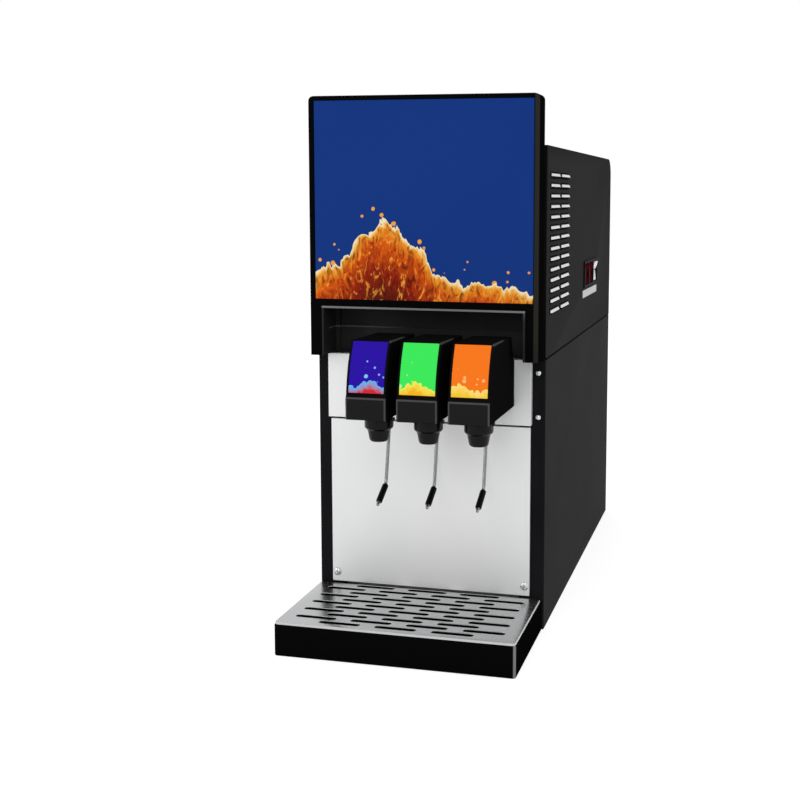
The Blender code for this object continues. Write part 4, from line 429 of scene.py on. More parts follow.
light_board, tree, shader, where = surface("light_board_white", "ecebe6", 0.5)
grained(tree, shader, where, 2 * MM, 0.02 * MM)
dress("backlight_board", light_board, 0.3 * MM)

# Front panels: two pans of bright stainless sheet with a fine satin finish, folded back at every edge.
# The grain runs level and is too fine to see from a step away, and the sheets read as even pale grey.
bright_sheet, tree, shader, where = surface("stainless_satin", "e9e9e9", 0.50, metallic=0.45)
grained(tree, shader, where, 0.5 * MM, 0.0015 * MM, stretch=(0.02, 1, 1), rough=(0.47, 0.53))
toned(tree, shader, where, 90 * MM, ("e7e8e8", "ebebeb"), stretch=(1, 1, 0.6))
for name in ("valve_panel", "splash_panel"):
    dress(name, bright_sheet, 0.5 * MM, 2)


# Drip tray: a deep tray moulded in black ABS, with rounded corners and a sloping basin under the grate.
# It stands on the counter against the cabinet, and its front corner is painted pale: a painted highlight.
def rounded_loop(low, high, z, front_radius, back_radius, steps=6):
    """The corners of a level rectangle with rounded ends, as points at one height."""
    points = []
    for x, y, turn, radius in (
        (high[0], low[1], -0.5, front_radius),
        (high[0], high[1], 0.0, back_radius),
        (low[0], high[1], 0.5, back_radius),
        (low[0], low[1], 1.0, front_radius),
    ):
        middle_x = x - math.copysign(radius, x - (low[0] + high[0]) / 2)
        middle_y = y - math.copysign(radius, y - (low[1] + high[1]) / 2)
        for k in range(steps + 1):
            a = math.pi * (turn + 0.5 * k / steps)
            points.append((middle_x + radius * math.cos(a), middle_y + radius * math.sin(a), z))
    return points


def lofted(bm, loops):
    """Adds to bm a closed skin through loops that have as many points each, with a face at either end."""
    rings = [[bm.verts.new(p) for p in loop] for loop in loops]
    for low, high in zip(rings, rings[1:]):
        for k in range(len(low)):
            after = (k + 1) % len(low)
            bm.faces.new((low[k], low[after], high[after], high[k]))
    bm.faces.new(rings[0])
    bm.faces.new(rings[-1])
    return bm


def piece(name, bm, finish, body, stands_for=(), place=(0, 0, 0), angle=35):
    """A shown piece from bm that rides on a body and stands for the CAD nodes it replaces."""
    bmesh.ops.recalc_face_normals(bm, faces=bm.faces)
    mesh = bpy.data.meshes.new(name)
    bm.to_mesh(mesh)
    bm.free()
    mesh.materials.append(finish)
    return shown(name, mesh, body, stands_for, place, angle)


def shown(name, mesh, body, stands_for=(), place=(0, 0, 0), angle=35):
    mesh.shade_smooth()
    mesh.set_sharp_from_angle(angle=math.radians(angle))
    obj = bpy.data.objects.new(name, mesh)
    bpy.context.scene.collection.objects.link(obj)
    obj.location = place
    bpy.context.view_layer.update()
    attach(obj, body)
    if stands_for:
        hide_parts(*stands_for)
    return obj


tray_plastic, tree, shader, where = surface("abs_tray_black", "0b0b0c", 0.42, level=0.0)
grained(tree, shader, where, 1.6 * MM, 0.008 * MM, rough=(0.30, 0.40))
tray_low, tray_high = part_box("drip_tray")
grate_low, grate_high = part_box("drip_grate")
RIM_TOP = tray_high.z
place = add(tree, "ShaderNodeSeparateXYZ", {"Vector": where})
# Painted highlight on the tray's front right corner.
side = {"Value": place.outputs["X"], "From Min": tray_high.x - 3.4 * MM, "From Max": tray_high.x - 2.2 * MM}
side = add(tree, "ShaderNodeMapRange", side)
front = {"Value": place.outputs["Y"], "From Min": tray_low.y + 3.4 * MM, "From Max": tray_low.y + 2.2 * MM}
front = add(tree, "ShaderNodeMapRange", front)
corner_highlight = add(tree, "ShaderNodeMath", {0: side.outputs[0], 1: front.outputs[0]}, operation="MULTIPLY")
corner_highlight = {"Factor": corner_highlight.outputs[0], 6: srgb("0b0b0c"), 7: srgb("8a8a8a")}
corner_highlight = add(tree, "ShaderNodeMix", corner_highlight, data_type="RGBA")
tree.links.new(corner_highlight.outputs[2], shader.inputs["Base Color"])
bm = bmesh.new()
loops = []
for inset, z in (
    (
        1.2, 0.0
    ), (0.35, 0.35), (0.0, 1.2), (0.0, RIM_TOP / MM - 0.6), (0.18, RIM_TOP / MM - 0.18), (0.6, RIM_TOP / MM),
    (
        7.4, RIM_TOP / MM
    ), (7.8, RIM_TOP / MM - 0.2), (8.0, RIM_TOP / MM - 0.6), (8.0, 7.0), (9.0, 4.2), (11.5, 3.0),
):
    inset *= MM
    low, high = (tray_low.x + inset, tray_low.y + inset), (tray_high.x - inset, tray_high.y - inset)
    front_radius, back_radius = max(4.0 * MM - 0.4 * inset, 1 * MM), max(2.0 * MM - 0.2 * inset, 0.6 * MM)
    loops.append(rounded_loop(low, high, z * MM, front_radius, back_radius))
lofted(bm, loops)
piece("tray_shell", bm, tray_plastic, "drip_tray", ("drip_tray",))


# Grate: a polished stainless sheet with its edges turned down on to the tray's rim, and staggered slots whose
# edges are pressed in. The polish is the same all over, and the punched walls of the slots carry a painted
# shade.
grate_steel, tree, shader, where = surface("stainless_polished", "b4b5b6", 0.18, metallic=1.0)
grained(tree, shader, where, 0.5 * MM, 0.002 * MM, stretch=(0.03, 1, 1), rough=(0.20, 0.30))
place = add(tree, "ShaderNodeSeparateXYZ", {"Vector": where})
masks = []
half = (grate_high.x - grate_low.x) / 2
spread = add(tree, "ShaderNodeMath", {0: place.outputs["X"]}, operation="ABSOLUTE")
for value, start, end in (
    (place.outputs["Z"], grate_high.z - 0.25 * MM, grate_high.z - 0.55 * MM),
    (place.outputs["Y"], grate_low.y + 3 * MM, grate_low.y + 4 * MM),
    (spread.outputs[0], half - 3 * MM, half - 4 * MM),
):
    masks.append(
        add(tree, "ShaderNodeMapRange", {"Value": value, "From Min": start, "From Max": end}).outputs[0]
    )
inside = add(tree, "ShaderNodeMath", {0: masks[0], 1: masks[1]}, operation="MULTIPLY")
inside = add(tree, "ShaderNodeMath", {0: inside.outputs[0], 1: masks[2]}, operation="MULTIPLY")
# The slot walls carry a painted shade.
slot_shade = {"Factor": inside.outputs[0], 6: srgb("b4b5b6"), 7: srgb("101010")}
slot_shade = add(tree, "ShaderNodeMix", slot_shade, data_type="RGBA")
tree.links.new(slot_shade.outputs[2], shader.inputs["Base Color"])
SHEET = 0.9 * MM
SLOT_HALF_LENGTH, SLOT_HALF_WIDTH, SLOT_PRESS = 25.5 * MM, 4.1 * MM, 0.5 * MM
SLOT_PITCH = 69.5 * MM
SLOT_ROWS, ROW_FRONT, ROW_BACK = 11, tray_low.y + 13.5 * MM, tray_low.y + 146.5 * MM
top, foot = grate_high.z, grate_low.z
low, high = grate_low.xy, grate_high.xy
bm = bmesh.new()
loops = []
for inset, z in (
    (
        SHEET + 3 * MM, top - SHEET
    ), (SHEET + 0.3 * MM, top - SHEET - 0.1 * MM), (SHEET, top - SHEET - 0.4 * MM),
    (SHEET, foot), (0, foot), (0, top - 1.2 * MM), (0.16 * MM, top - 0.6 * MM),
    (0.5 * MM, top - 0.2 * MM), (1.2 * MM, top),
):
    inner_low, inner_high = (low[0] + inset, low[1] + inset), (high[0] - inset, high[1] - inset)
    loops.append(rounded_loop(inner_low, inner_high, z, 4.0 * MM - 0.5 * inset, 2.5 * MM - 0.5 * inset))
lofted(bm, loops)
bmesh.ops.recalc_face_normals(bm, faces=bm.faces)


def as_object(name, bm):
    """The mesh as an object of its own, for cutting with."""
    mesh = bpy.data.meshes.new(name)
    bm.to_mesh(mesh)
    bm.free()
    obj = bpy.data.objects.new(name, mesh)
    bpy.context.scene.collection.objects.link(obj)
    return obj


pan = as_object("pan", bm)
bm = bmesh.new()
for row in range(SLOT_ROWS):
    count = (3, 4)[row % 2]
    y = ROW_FRONT + (ROW_BACK - ROW_FRONT) * row / (SLOT_ROWS - 1)
    for k in range(count):
        x = (k - (count - 1) / 2) * SLOT_PITCH
        levels = (
            (0, top - 3 * MM), (0, top - SLOT_PRESS),
            (0.35 * SLOT_PRESS, top - 0.3 * SLOT_PRESS), (SLOT_PRESS, top + 0.01 * MM)
        )
        lofted(bm, [
            rounded_loop(
                (x - SLOT_HALF_LENGTH - grow, y - SLOT_HALF_WIDTH - grow),
                (x + SLOT_HALF_LENGTH + grow, y + SLOT_HALF_WIDTH + grow),
                z, SLOT_HALF_WIDTH + grow - 0.01 * MM, SLOT_HALF_WIDTH + grow - 0.01 * MM,
            ) for grow, z in levels
        ])
bmesh.ops.recalc_face_normals(bm, faces=bm.faces)
punch = as_object("punch", bm)
cut = pan.modifiers.new("slots", "BOOLEAN")
cut.object, cut.solver = punch, "EXACT"
grate_mesh = bpy.data.meshes.new_from_object(pan.evaluated_get(bpy.context.evaluated_depsgraph_get()))
for old in (pan, punch):
    bpy.data.objects.remove(old, do_unlink=True)
grate_mesh.materials.clear()
grate_mesh.materials.append(grate_steel)
shown("slotted_grate", grate_mesh, "drip_grate", ("drip_grate",), angle=25)


# Screws: stainless pan heads with a cross recess, two on the right column and two at the foot of the splash
# panel, and the same screws hold the sheets at the back, where the photograph doesn't reach.
def softened(points, radius, steps=3):
    """A polyline with its inner corners rounded, the radius cut short where its sides are short."""
    points = [Vector(p) for p in points]
    smooth = [points[0]]
    for before, corner, after in zip(points, points[1:], points[2:]):
        reach = min(radius, 0.45 * (before - corner).length, 0.45 * (after - corner).length)
        start, end = corner + (
            before - corner
        ).normalized() * reach, corner + (after - corner).normalized() * reach
        for k in range(steps + 1):
            t = k / steps
            smooth.append(start.lerp(corner, t).lerp(corner.lerp(end, t), t))
    return [*smooth, points[-1]]


def turned(bm, profile, sides, turn=Matrix()):
    """Adds to bm a profile of (radius, height) turned round Z and then placed by a matrix."""
    rings = []
    for radius, height in profile:
        count = sides if radius > 1e-7 else 1
        angles = [2 * math.pi * k / count for k in range(count)]
        ring = [Vector((radius * math.cos(a), radius * math.sin(a), height)) for a in angles]
        rings.append([bm.verts.new(turn @ point) for point in ring])
    for low, high in zip(rings, rings[1:]):
        for k in range(sides):
            corners = [
                low[k % len(low)], low[(k + 1) % len(low)], high[(k + 1) % len(high)], high[k % len(high)]
            ]
            face = list(dict.fromkeys(corners))
            if len(face) > 2:
                bm.faces.new(face)


screw_steel, tree, shader, where = surface("stainless_turned", "c6c8c9", 0.16, metallic=1.0)
grained(tree, shader, where, 0.4 * MM, 0.004 * MM, rough=(0.12, 0.24))


def screw_mesh(radius, rise, shank):
    """A pan-head screw that points along +Y, its head's seat at the origin."""
    bm = bmesh.new()
    dome = [(radius * math.cos(a), -rise * math.sin(a)) for a in (math.pi / 2 * k / 6 for k in range(6))]
    flat = [(0, -rise), *reversed(dome), (radius, 0), (2.0 * MM, 0), (2.0 * MM, shank), (0, shank)]
    turned(bm, flat, 28, Matrix.Rotation(-math.pi / 2, 4, "X"))
    bmesh.ops.recalc_face_normals(bm, faces=bm.faces)
    mesh = bpy.data.meshes.new("screw")
    bm.to_mesh(mesh)
    bm.free()
    head = bpy.data.objects.new("head", mesh)
    bpy.context.scene.collection.objects.link(head)
    cross = bmesh.new()
    for turn in (0, math.pi / 2):
        arm = Matrix.Rotation(
            turn, 4, "Y"
        ) @ Matrix.Translation((0, -rise, 0)) @ Matrix.Diagonal((radius * 1.05, rise * 1.2, radius * 0.26, 1))
        bmesh.ops.create_cube(cross, size=1, matrix=arm)
    tool_mesh = bpy.data.meshes.new("cross")
    cross.to_mesh(tool_mesh)
    cross.free()
    tool = bpy.data.objects.new("cross", tool_mesh)
    bpy.context.scene.collection.objects.link(tool)
    cut = head.modifiers.new("cross", "BOOLEAN")
    cut.object = tool
    cut.solver = "EXACT"
    cut.use_self = True
    made = bpy.data.meshes.new_from_object(head.evaluated_get(bpy.context.evaluated_depsgraph_get()))
    for old in (head, tool):
        bpy.data.objects.remove(old, do_unlink=True)
    made.materials.clear()
    made.materials.append(screw_steel)
    return made


def centre_of(node):
    low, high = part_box(node)
    return (low + high) / 2


for pair in (("column_screw_upper", "column_screw_lower"), ("splash_screw_left", "splash_screw_right")):
    low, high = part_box(pair[0])
    head_depth = 2.4 * MM if pair[0].startswith("column") else 2.2 * MM
    mesh = screw_mesh((high.x - low.x) / 2, head_depth, high.y - low.y - head_depth)
    for name in pair:
        middle = centre_of(name)
        seat = (middle.x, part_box(name)[0].y + head_depth, middle.z)
        shown(f"{name}_head", mesh, "cabinet", (name,), seat)

rear_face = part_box("side_panel_right")[1].y
rear_mesh = screw_mesh(3.6 * MM, 2.2 * MM, 3.0 * MM)
REAR_SCREW_X, REAR_SCREW_HEIGHTS = 143 * MM, [z * MM for z in (40, 185, 330, 362, 560)]
for side, x in (("left", -REAR_SCREW_X), ("right", REAR_SCREW_X)):
    for k, z in enumerate(REAR_SCREW_HEIGHTS, 1):
        rear = shown(
            f"rear_screw_{side}_{k}", rear_mesh, "cabinet", (), (x, rear_face, z)
        )
        rear.rotation_euler.z = math.pi


# Valve covers: black ABS caps that drop over the valve bodies, each with a plain block below its label.
# The block's front face is painted paler than the rest, a painted sheen, and its rounded edges and the brow
# are painted a soft grey as painted highlights.
def arc_between(start, end, bulge, steps):
    """Points from start to end on a circle that stands out by the bulge on the left of the way."""
    chord = end - start
    radius = chord.length_squared / (8 * bulge) + bulge / 2
    out = Vector((-chord.y, chord.x)).normalized()
    centre = (start + end) / 2 - out * (radius - bulge)
    first, last = start - centre, end - centre
    turn = -first.angle(last)
    return [centre + Matrix.Rotation(turn * k / steps, 2) @ first for k in range(steps + 1)]


def extruded(outline, low, high):
    """A bmesh of an outline of (y, z) points swept along X."""
    bm = bmesh.new()
    face = bm.faces.new([bm.verts.new((low, y, z)) for y, z in outline])
    swept = bmesh.ops.extrude_face_region(bm, geom=[face])
    moved = [g for g in swept["geom"] if isinstance(g, bmesh.types.BMVert)]
    bmesh.ops.translate(bm, verts=moved, vec=(high - low, 0, 0))
    bmesh.ops.recalc_face_normals(bm, faces=bm.faces)
    return bm


def carved(obj, tools, edge, segments=3):
    """The object's mesh with bevelled edges, then cut by its tools, which are removed."""
    bevel = obj.modifiers.new("edges", "BEVEL")
    bevel.width, bevel.segments = edge, segments
    bevel.limit_method, bevel.angle_limit = "ANGLE", math.radians(25)
    for tool in tools:
        cut = obj.modifiers.new("cut", "BOOLEAN")
        cut.object, cut.solver = tool, "EXACT"
    made = bpy.data.meshes.new_from_object(obj.evaluated_get(bpy.context.evaluated_depsgraph_get()))
    for old in (obj, *tools):
        bpy.data.objects.remove(old, do_unlink=True)
    return made


cap_plastic, tree, shader, where = surface("abs_cap_black", "131314", 0.40, level=0.0)
grained(tree, shader, where, 0.8 * MM, 0.012 * MM, rough=(0.30, 0.40))

FRONT_Y = -0.295
CAP_WALL = 2.0 * MM
FACE_FOOT = Vector((FRONT_Y - 141.5 * MM, 318.5 * MM))
FACE_BULGE = 3.4 * MM
cap_low, cap_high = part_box("valve_cover_1")
cap_half = (cap_high.x - cap_low.x) / 2
BLOCK_TOP, CAP_EDGE = 314.0 * MM, 2.2 * MM
place = add(tree, "ShaderNodeSeparateXYZ", {"Vector": where})
width = add(tree, "ShaderNodeMath", {0: place.outputs["X"]}, operation="ABSOLUTE")
masks = []
for value, limit, way in (
    (width.outputs[0], cap_half - 0.85 * CAP_EDGE, 1),
    (place.outputs["Y"], cap_low.y + 0.85 * CAP_EDGE, -1),
    (place.outputs["Y"], cap_low.y + 0.15 * CAP_EDGE, -1),
    (place.outputs["Z"], BLOCK_TOP - 0.60 * CAP_EDGE, 1),
    (place.outputs["Z"], BLOCK_TOP + 0.30 * CAP_EDGE, -1),
):
    soft = {"Value": value, "From Min": limit - way * 0.4 * MM, "From Max": limit + way * 0.4 * MM}
    masks.append(add(tree, "ShaderNodeMapRange", soft).outputs[0])
side, near, face, crown, below = masks
edge = add(tree, "ShaderNodeMath", {0: side, 1: crown}, operation="MAXIMUM")
edge = add(tree, "ShaderNodeMath", {0: edge.outputs[0], 1: near}, operation="MULTIPLY")
edge = add(tree, "ShaderNodeMath", {0: edge.outputs[0], 1: below}, operation="MULTIPLY")
face = add(tree, "ShaderNodeMath", {0: face, 1: below}, operation="MULTIPLY")
# The block's front face is painted paler: a painted sheen.
face = {"Factor": face.outputs[0], 6: srgb("121213"), 7: srgb("252526")}
face = add(tree, "ShaderNodeMix", face, data_type="RGBA")
# Painted highlights on the rounded side edges and on the block's top edge.
edge = {"Factor": edge.outputs[0], 6: face.outputs[2], 7: srgb("505050")}
edge = add(tree, "ShaderNodeMix", edge, data_type="RGBA")
# Painted highlight along the cap's top right edge.
brow = []
for value, start, end in (
    (place.outputs["X"], cap_half - 1.0 * CAP_EDGE, cap_half - 0.7 * CAP_EDGE),
    (place.outputs["Z"], cap_high.z - 2.6 * MM, cap_high.z - 2.0 * MM),
    (place.outputs["Y"], cap_high.y - 52 * MM, cap_high.y - 66 * MM),
):
    brow.append(
        add(tree, "ShaderNodeMapRange", {"Value": value, "From Min": start, "From Max": end}).outputs[0]
    )
line = add(tree, "ShaderNodeMath", {0: brow[0], 1: brow[1]}, operation="MULTIPLY")
line = add(tree, "ShaderNodeMath", {0: line.outputs[0], 1: brow[2]}, operation="MULTIPLY")
edge = {"Factor": line.outputs[0], 6: edge.outputs[2], 7: srgb("484848")}
edge = add(tree, "ShaderNodeMix", edge, data_type="RGBA")
tree.links.new(edge.outputs[2], shader.inputs["Base Color"])
FACE_HEAD = Vector((FRONT_Y - 121.5 * MM, cap_high.z))
face = arc_between(FACE_FOOT, FACE_HEAD, FACE_BULGE, 16)
outline = [
    Vector((cap_low.y, cap_low.z)),
    Vector((cap_low.y, BLOCK_TOP)),
    Vector((FACE_FOOT.x - 0.9 * MM, BLOCK_TOP + 1.4 * MM)),
    *face,
    Vector((FRONT_Y - 28.0 * MM, cap_high.z - 2 * MM)),
    Vector((cap_high.y, cap_high.z - 37 * MM)),
    Vector((cap_high.y, cap_low.z)),
]
inner = arc_between(
    FACE_FOOT + Vector((CAP_WALL, 0)), FACE_HEAD + Vector((CAP_WALL, -CAP_WALL)), FACE_BULGE, 16
)
void = [
    Vector((cap_low.y + CAP_WALL, cap_low.z - 5 * MM)),
    Vector((cap_low.y + CAP_WALL, 317.0 * MM)),
    *inner,
    Vector((cap_high.y + 5 * MM, cap_high.z - 4 * MM)),
    Vector((cap_high.y + 5 * MM, cap_low.z - 5 * MM)),
]
label_low, label_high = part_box("valve_label_1")
label_half = (label_high.x - label_low.x) / 2 + 0.3 * MM
depth = Vector((1.3 * MM, -0.35 * MM))
recess = [p + depth for p in face] + [p - depth * 6 for p in reversed(face)]
cap = as_object("cap", extruded(outline, -cap_half, cap_half))
cap_mesh = carved(cap, [
    as_object("void", extruded(void, CAP_WALL - cap_half, cap_half - CAP_WALL)),
    as_object("recess", extruded(recess, -label_half, label_half)),
], CAP_EDGE, 5)
cap_mesh.materials.clear()
cap_mesh.materials.append(cap_plastic)
for k in (1, 2, 3):
    middle = centre_of(f"valve_cover_{k}").x
    shown(
        f"valve_cap_{k}", cap_mesh, "cabinet",
        (f"valve_cover_{k}",), (middle, 0, 0), 28
    )

# Labels: printed acrylic slips lit from inside the valve, held in the cap's recess.
# Each has a bright ground, a plain wave of drink at its foot and a few rising bubbles.
for k, ground, foot, crest_colour, fizz_colour, seed in (
    (1, "2a0fa2", "d32a2f", "52b7f2", "8fd2ff", 0.0),
    (2, "3cea5b", "f5b51f", "f7ee5a", "c9f7a0", 4.3),
    (3, "f8781c", "f9c62e", "ffe27a", "ffc07a", 9.1),
):
    label, tree, shader, where = surface(f"printed_slip_{k}", ground, 0.22, level=0.05)
    low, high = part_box(f"valve_label_{k}")
    shift = add(tree, "ShaderNodeMapping", {"Vector": where, "Location": (seed, 0, seed)})
    place = add(tree, "ShaderNodeSeparateXYZ", {"Vector": where})
    x, z = place.outputs["X"], place.outputs["Z"]
    wave = add(tree, "ShaderNodeMath", {0: x, 1: 150.0, 2: seed}, operation="MULTIPLY_ADD")
    wave = add(tree, "ShaderNodeMath", {0: wave.outputs[0]}, operation="SINE")
    wave = add(
        tree, "ShaderNodeMath", {0: wave.outputs[0], 1: 4 * MM, 2: low.z + 13 * MM}, operation="MULTIPLY_ADD"
    )
    ripple = add(tree, "ShaderNodeTexVoronoi", {"Vector": shift.outputs[0], "Scale": 1 / (6 * MM)})
    ripple = add(
        tree, "ShaderNodeMath", {0: ripple.outputs["Distance"], 1: -7 * MM, 2: wave.outputs[0]},
        operation="MULTIPLY_ADD"
    )
    depth = add(tree, "ShaderNodeMath", {0: ripple.outputs[0], 1: z}, operation="SUBTRACT")
    body_share = add(
        tree, "ShaderNodeMapRange", {"Value": depth.outputs[0], "From Min": -1.0 * MM, "From Max": 9 * MM}
    )
    drink = {"Factor": body_share.outputs[0], 6: srgb(crest_colour), 7: srgb(foot)}
    drink = add(tree, "ShaderNodeMix", drink, data_type="RGBA")
    fizz = add(
        tree, "ShaderNodeTexVoronoi", {"Vector": shift.outputs[0], "Scale": 1 / (9 * MM), "Randomness": 0.9}
    )
    rise = add(
        tree, "ShaderNodeMapRange",
        {"Value": depth.outputs[0], "From Min": -42 * MM, "From Max": -2 * MM, "To Min": 0.0, "To Max": 0.34}
    )
    bubble = add(
        tree, "ShaderNodeMath", {0: rise.outputs[0], 1: fizz.outputs["Distance"]}, operation="SUBTRACT"
    )
    bubble = add(
        tree, "ShaderNodeMapRange",
        {"Value": bubble.outputs[0], "From Min": 0.0, "From Max": 0.05, "To Max": 0.85}
    )
    fizzy = {"Factor": bubble.outputs[0], 6: srgb(ground), 7: srgb(fizz_colour)}
    fizzy = add(tree, "ShaderNodeMix", fizzy, data_type="RGBA")
    edge_share = add(
        tree, "ShaderNodeMapRange", {"Value": depth.outputs[0], "From Min": -1.4 * MM, "From Max": -0.9 * MM}
    )
    art = add(
        tree, "ShaderNodeMix",
        {"Factor": edge_share.outputs[0], 6: fizzy.outputs[2], 7: drink.outputs[2]}, data_type="RGBA"
    )
    halved = add(tree, "ShaderNodeHueSaturation", {"Value": 0.5, "Color": art.outputs[2]})
    tree.links.new(halved.outputs[0], shader.inputs["Base Color"])
    tree.links.new(art.outputs[2], shader.inputs["Emission Color"])
    shader.inputs["Emission Strength"].default_value = 0.55
    dress(f"valve_label_{k}", label, 0.2 * MM, 1)

body_nylon, tree, shader, where = surface("nylon_body_grey", "2a2a2b", 0.5, level=0.3)
grained(tree, shader, where, 1.0 * MM, 0.02 * MM)
for k in (1, 2, 3):
    dress(f"valve_body_{k}", body_nylon, 0.3 * MM, 1)

# Nozzles: black moulded spouts that twist off their valve, with a waist, a broad ring and a tapered mouth.
# Small lugs on the ring give the fingers hold, and the moulding has a soft gloss.
spout_plastic, tree, shader, where = surface("acetal_spout_black", "0a0a0b", 0.20, level=0.12)
grained(tree, shader, where, 1.2 * MM, 0.008 * MM, rough=(0.17, 0.24))
bm = bmesh.new()
spout = [
    (
        0, -28.0
    ), (6.4, -28.0), (7.2, -32.4), (8.4, -33.9), (9.8, -33.9), (11.3, -32.6), (12.0, -30.0), (13.6, -21.5),
    (
        14.4, -19.6
    ), (16.9, -17.6), (17.5, -16.2), (17.5, -6.0), (16.4, -5.0), (15.5, -4.6), (15.5, 0.0), (0, 0.0),
]
turned(bm, [(r * MM, h * MM) for r, h in softened(spout, 0.9, 3)], 48)
LUG_FOOT, LUG_TOP = -8.9, -5.0
for turn in (0, math.pi / 2, math.pi, -math.pi / 2):
    reach = 19.5 if turn in (0, math.pi) else 18.3
    lug = softened([(17.0, -3.0), (reach, -2.6), (reach + 0.01, 2.6), (17.0, 3.0)], 0.9, 3)
    spin = Matrix.Rotation(turn, 3, "Z")
    foot, top = ([bm.verts.new(spin @ Vector((x, y, h)) * MM) for x, y in lug] for h in (LUG_FOOT, LUG_TOP))
    for k in range(len(lug) - 1):
        bm.faces.new((foot[k], foot[k + 1], top[k + 1], top[k]))
    bm.faces.new(foot)
    bm.faces.new(top)
bmesh.ops.recalc_face_normals(bm, faces=bm.faces)
spout_mesh = bpy.data.meshes.new("spout")
bm.to_mesh(spout_mesh)
bm.free()
spout_mesh.materials.append(spout_plastic)
for k in (1, 2, 3):
    middle = centre_of(f"nozzle_{k}")
    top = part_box(f"nozzle_{k}")[1].z
    shown(
        f"spout_{k}", spout_mesh, f"nozzle_{k}",
        (f"nozzle_{k}",), (middle.x, FRONT_Y - 94 * MM, top)
    )

# Levers: polished stainless rods on a hub and trunnions inside the valve, bent forward at the foot.
# A soft black sleeve covers the bent part, and the rod's rounded end shows below it.
PIVOT_Y, PIVOT_Z = FRONT_Y - 48 * MM, 296.5 * MM
ELBOW, TIP = Vector((0, -21.0 * MM, -102.0 * MM)), Vector((0, -52.0 * MM, -119.3 * MM))
ROD = 2.1 * MM


def tube(bm, points, radii, sides):
    """Adds to bm a round tube in the YZ plane through points, with a radius at each."""
    across = Vector((1, 0, 0))
    ways = [(b - a).normalized() for a, b in zip(points, points[1:])]
    rings = []
    for k, (point, radius) in enumerate(zip(points, radii)):
        way = (ways[max(k - 1, 0)] + ways[min(k, len(ways) - 1)]).normalized()
        square = across.cross(way)
        angles = [2 * math.pi * s / sides for s in range(sides)]
        rings.append(
            [bm.verts.new(point + (across * math.cos(a) + square * math.sin(a)) * radius) for a in angles]
        )
    for low, high in zip(rings, rings[1:]):
        for k in range(sides):
            bm.faces.new((low[k], low[(k + 1) % sides], high[(k + 1) % sides], high[k]))
    bm.faces.new(rings[0])
    bm.faces.new(rings[-1])


lever_steel, tree, shader, where = surface("stainless_rod", "7d7f81", 0.20, metallic=1.0)
grained(tree, shader, where, 0.4 * MM, 0.0006 * MM, stretch=(1, 1, 0.05), rough=(0.16, 0.24))
way = (TIP - ELBOW).normalized()
path = softened([Vector((0, 0, 0)), ELBOW, TIP], 7 * MM, 8)
end = [TIP + way * ROD * 1.2 * math.sin(a) for a in (math.pi / 2 * k / 5 for k in range(1, 6))]
bm = bmesh.new()
radii = [ROD] * len(path) + [max(ROD * math.cos(math.pi / 2 * k / 5), 0.05 * MM) for k in range(1, 6)]
tube(bm, path + end, radii, 20)
lie = Matrix.Rotation(math.pi / 2, 4, "Y")
hub = [(3.0 * MM, -3.7 * MM), (3.6 * MM, -3.1 * MM), (3.6 * MM, 3.1 * MM), (3.0 * MM, 3.7 * MM)]
turned(
    bm, [(0, -3.7 * MM), *softened(hub, 0.4 * MM), (0, 3.7 * MM)],
    24, lie
)
turned(bm, [(0, -6.6 * MM), (2.0 * MM, -6.6 * MM), (2.0 * MM, 6.6 * MM), (0, 6.6 * MM)], 16, lie)
bmesh.ops.recalc_face_normals(bm, faces=bm.faces)
lever_mesh = bpy.data.meshes.new("lever_rod")
bm.to_mesh(lever_mesh)
bm.free()
lever_mesh.materials.append(lever_steel)

sleeve_rubber, tree, shader, where = surface("nitrile_sleeve_black", "09090a", 0.42, level=0.04)
grained(tree, shader, where, 0.7 * MM, 0.02 * MM)
bm = bmesh.new()
bore, skin = 2.4, 3.8
sleeve = [
    (bore, 2.5), *softened([(bore, 2.5), (skin, 2.5), (skin, 30.5), (bore, 30.5)], 0.4, 3),
    (bore, 30.5), (bore, 2.5)
]
tilt = Vector((0, 0, 1)).rotation_difference(way).to_matrix().to_4x4()
turned(bm, [(r * MM, h * MM) for r, h in sleeve], 28, Matrix.Translation(ELBOW) @ tilt)
bmesh.ops.remove_doubles(bm, verts=bm.verts, dist=0.000001)
bmesh.ops.recalc_face_normals(bm, faces=bm.faces)
sleeve_mesh = bpy.data.meshes.new("sleeve")
bm.to_mesh(sleeve_mesh)
bm.free()
sleeve_mesh.materials.append(sleeve_rubber)
for k in (1, 2, 3):
    pivot = (centre_of(f"valve_body_{k}").x, PIVOT_Y, PIVOT_Z)
    shown(f"lever_rod_{k}", lever_mesh, f"lever_{k}", (f"lever_{k}",), pivot, 40)
    shown(f"lever_sleeve_{k}", sleeve_mesh, f"lever_{k}", (f"grip_{k}",), pivot, 40)

# Switches: three snap-in rockers in one black bezel on the right side, two dark red and the last one white.
# The plate under them is left plain.
bezel_plastic, tree, shader, where = surface("nylon_bezel_black", "0a0a0b", 0.50, level=0.01)
grained(tree, shader, where, 0.8 * MM, 0.015 * MM)
dress("switch_bank", bezel_plastic, 0.5 * MM, 2)
red_rocker, tree, shader, where = surface("polycarbonate_red", "450d14", 0.34, level=0.0)
toned(tree, shader, where, 8 * MM, ("3a0a10", "56121a"))
white_rocker, tree, shader, where = surface("polycarbonate_white", "f2f2f0", 0.30, level=0.3)
place = add(tree, "ShaderNodeSeparateXYZ", {"Vector": where})
away = {0: place.outputs["Z"], 1: centre_of("rocker_3").z + 1.5 * MM}
away = add(tree, "ShaderNodeMath", away, operation="SUBTRACT")
away = add(tree, "ShaderNodeMath", {0: away.outputs[0]}, operation="ABSOLUTE")
line = add(tree, "ShaderNodeMapRange", {"Value": away.outputs[0], "From Min": 1.6 * MM, "From Max": 1.2 * MM})
line = {"Factor": line.outputs[0], 6: srgb("f2f2f0"), 7: srgb("101010")}
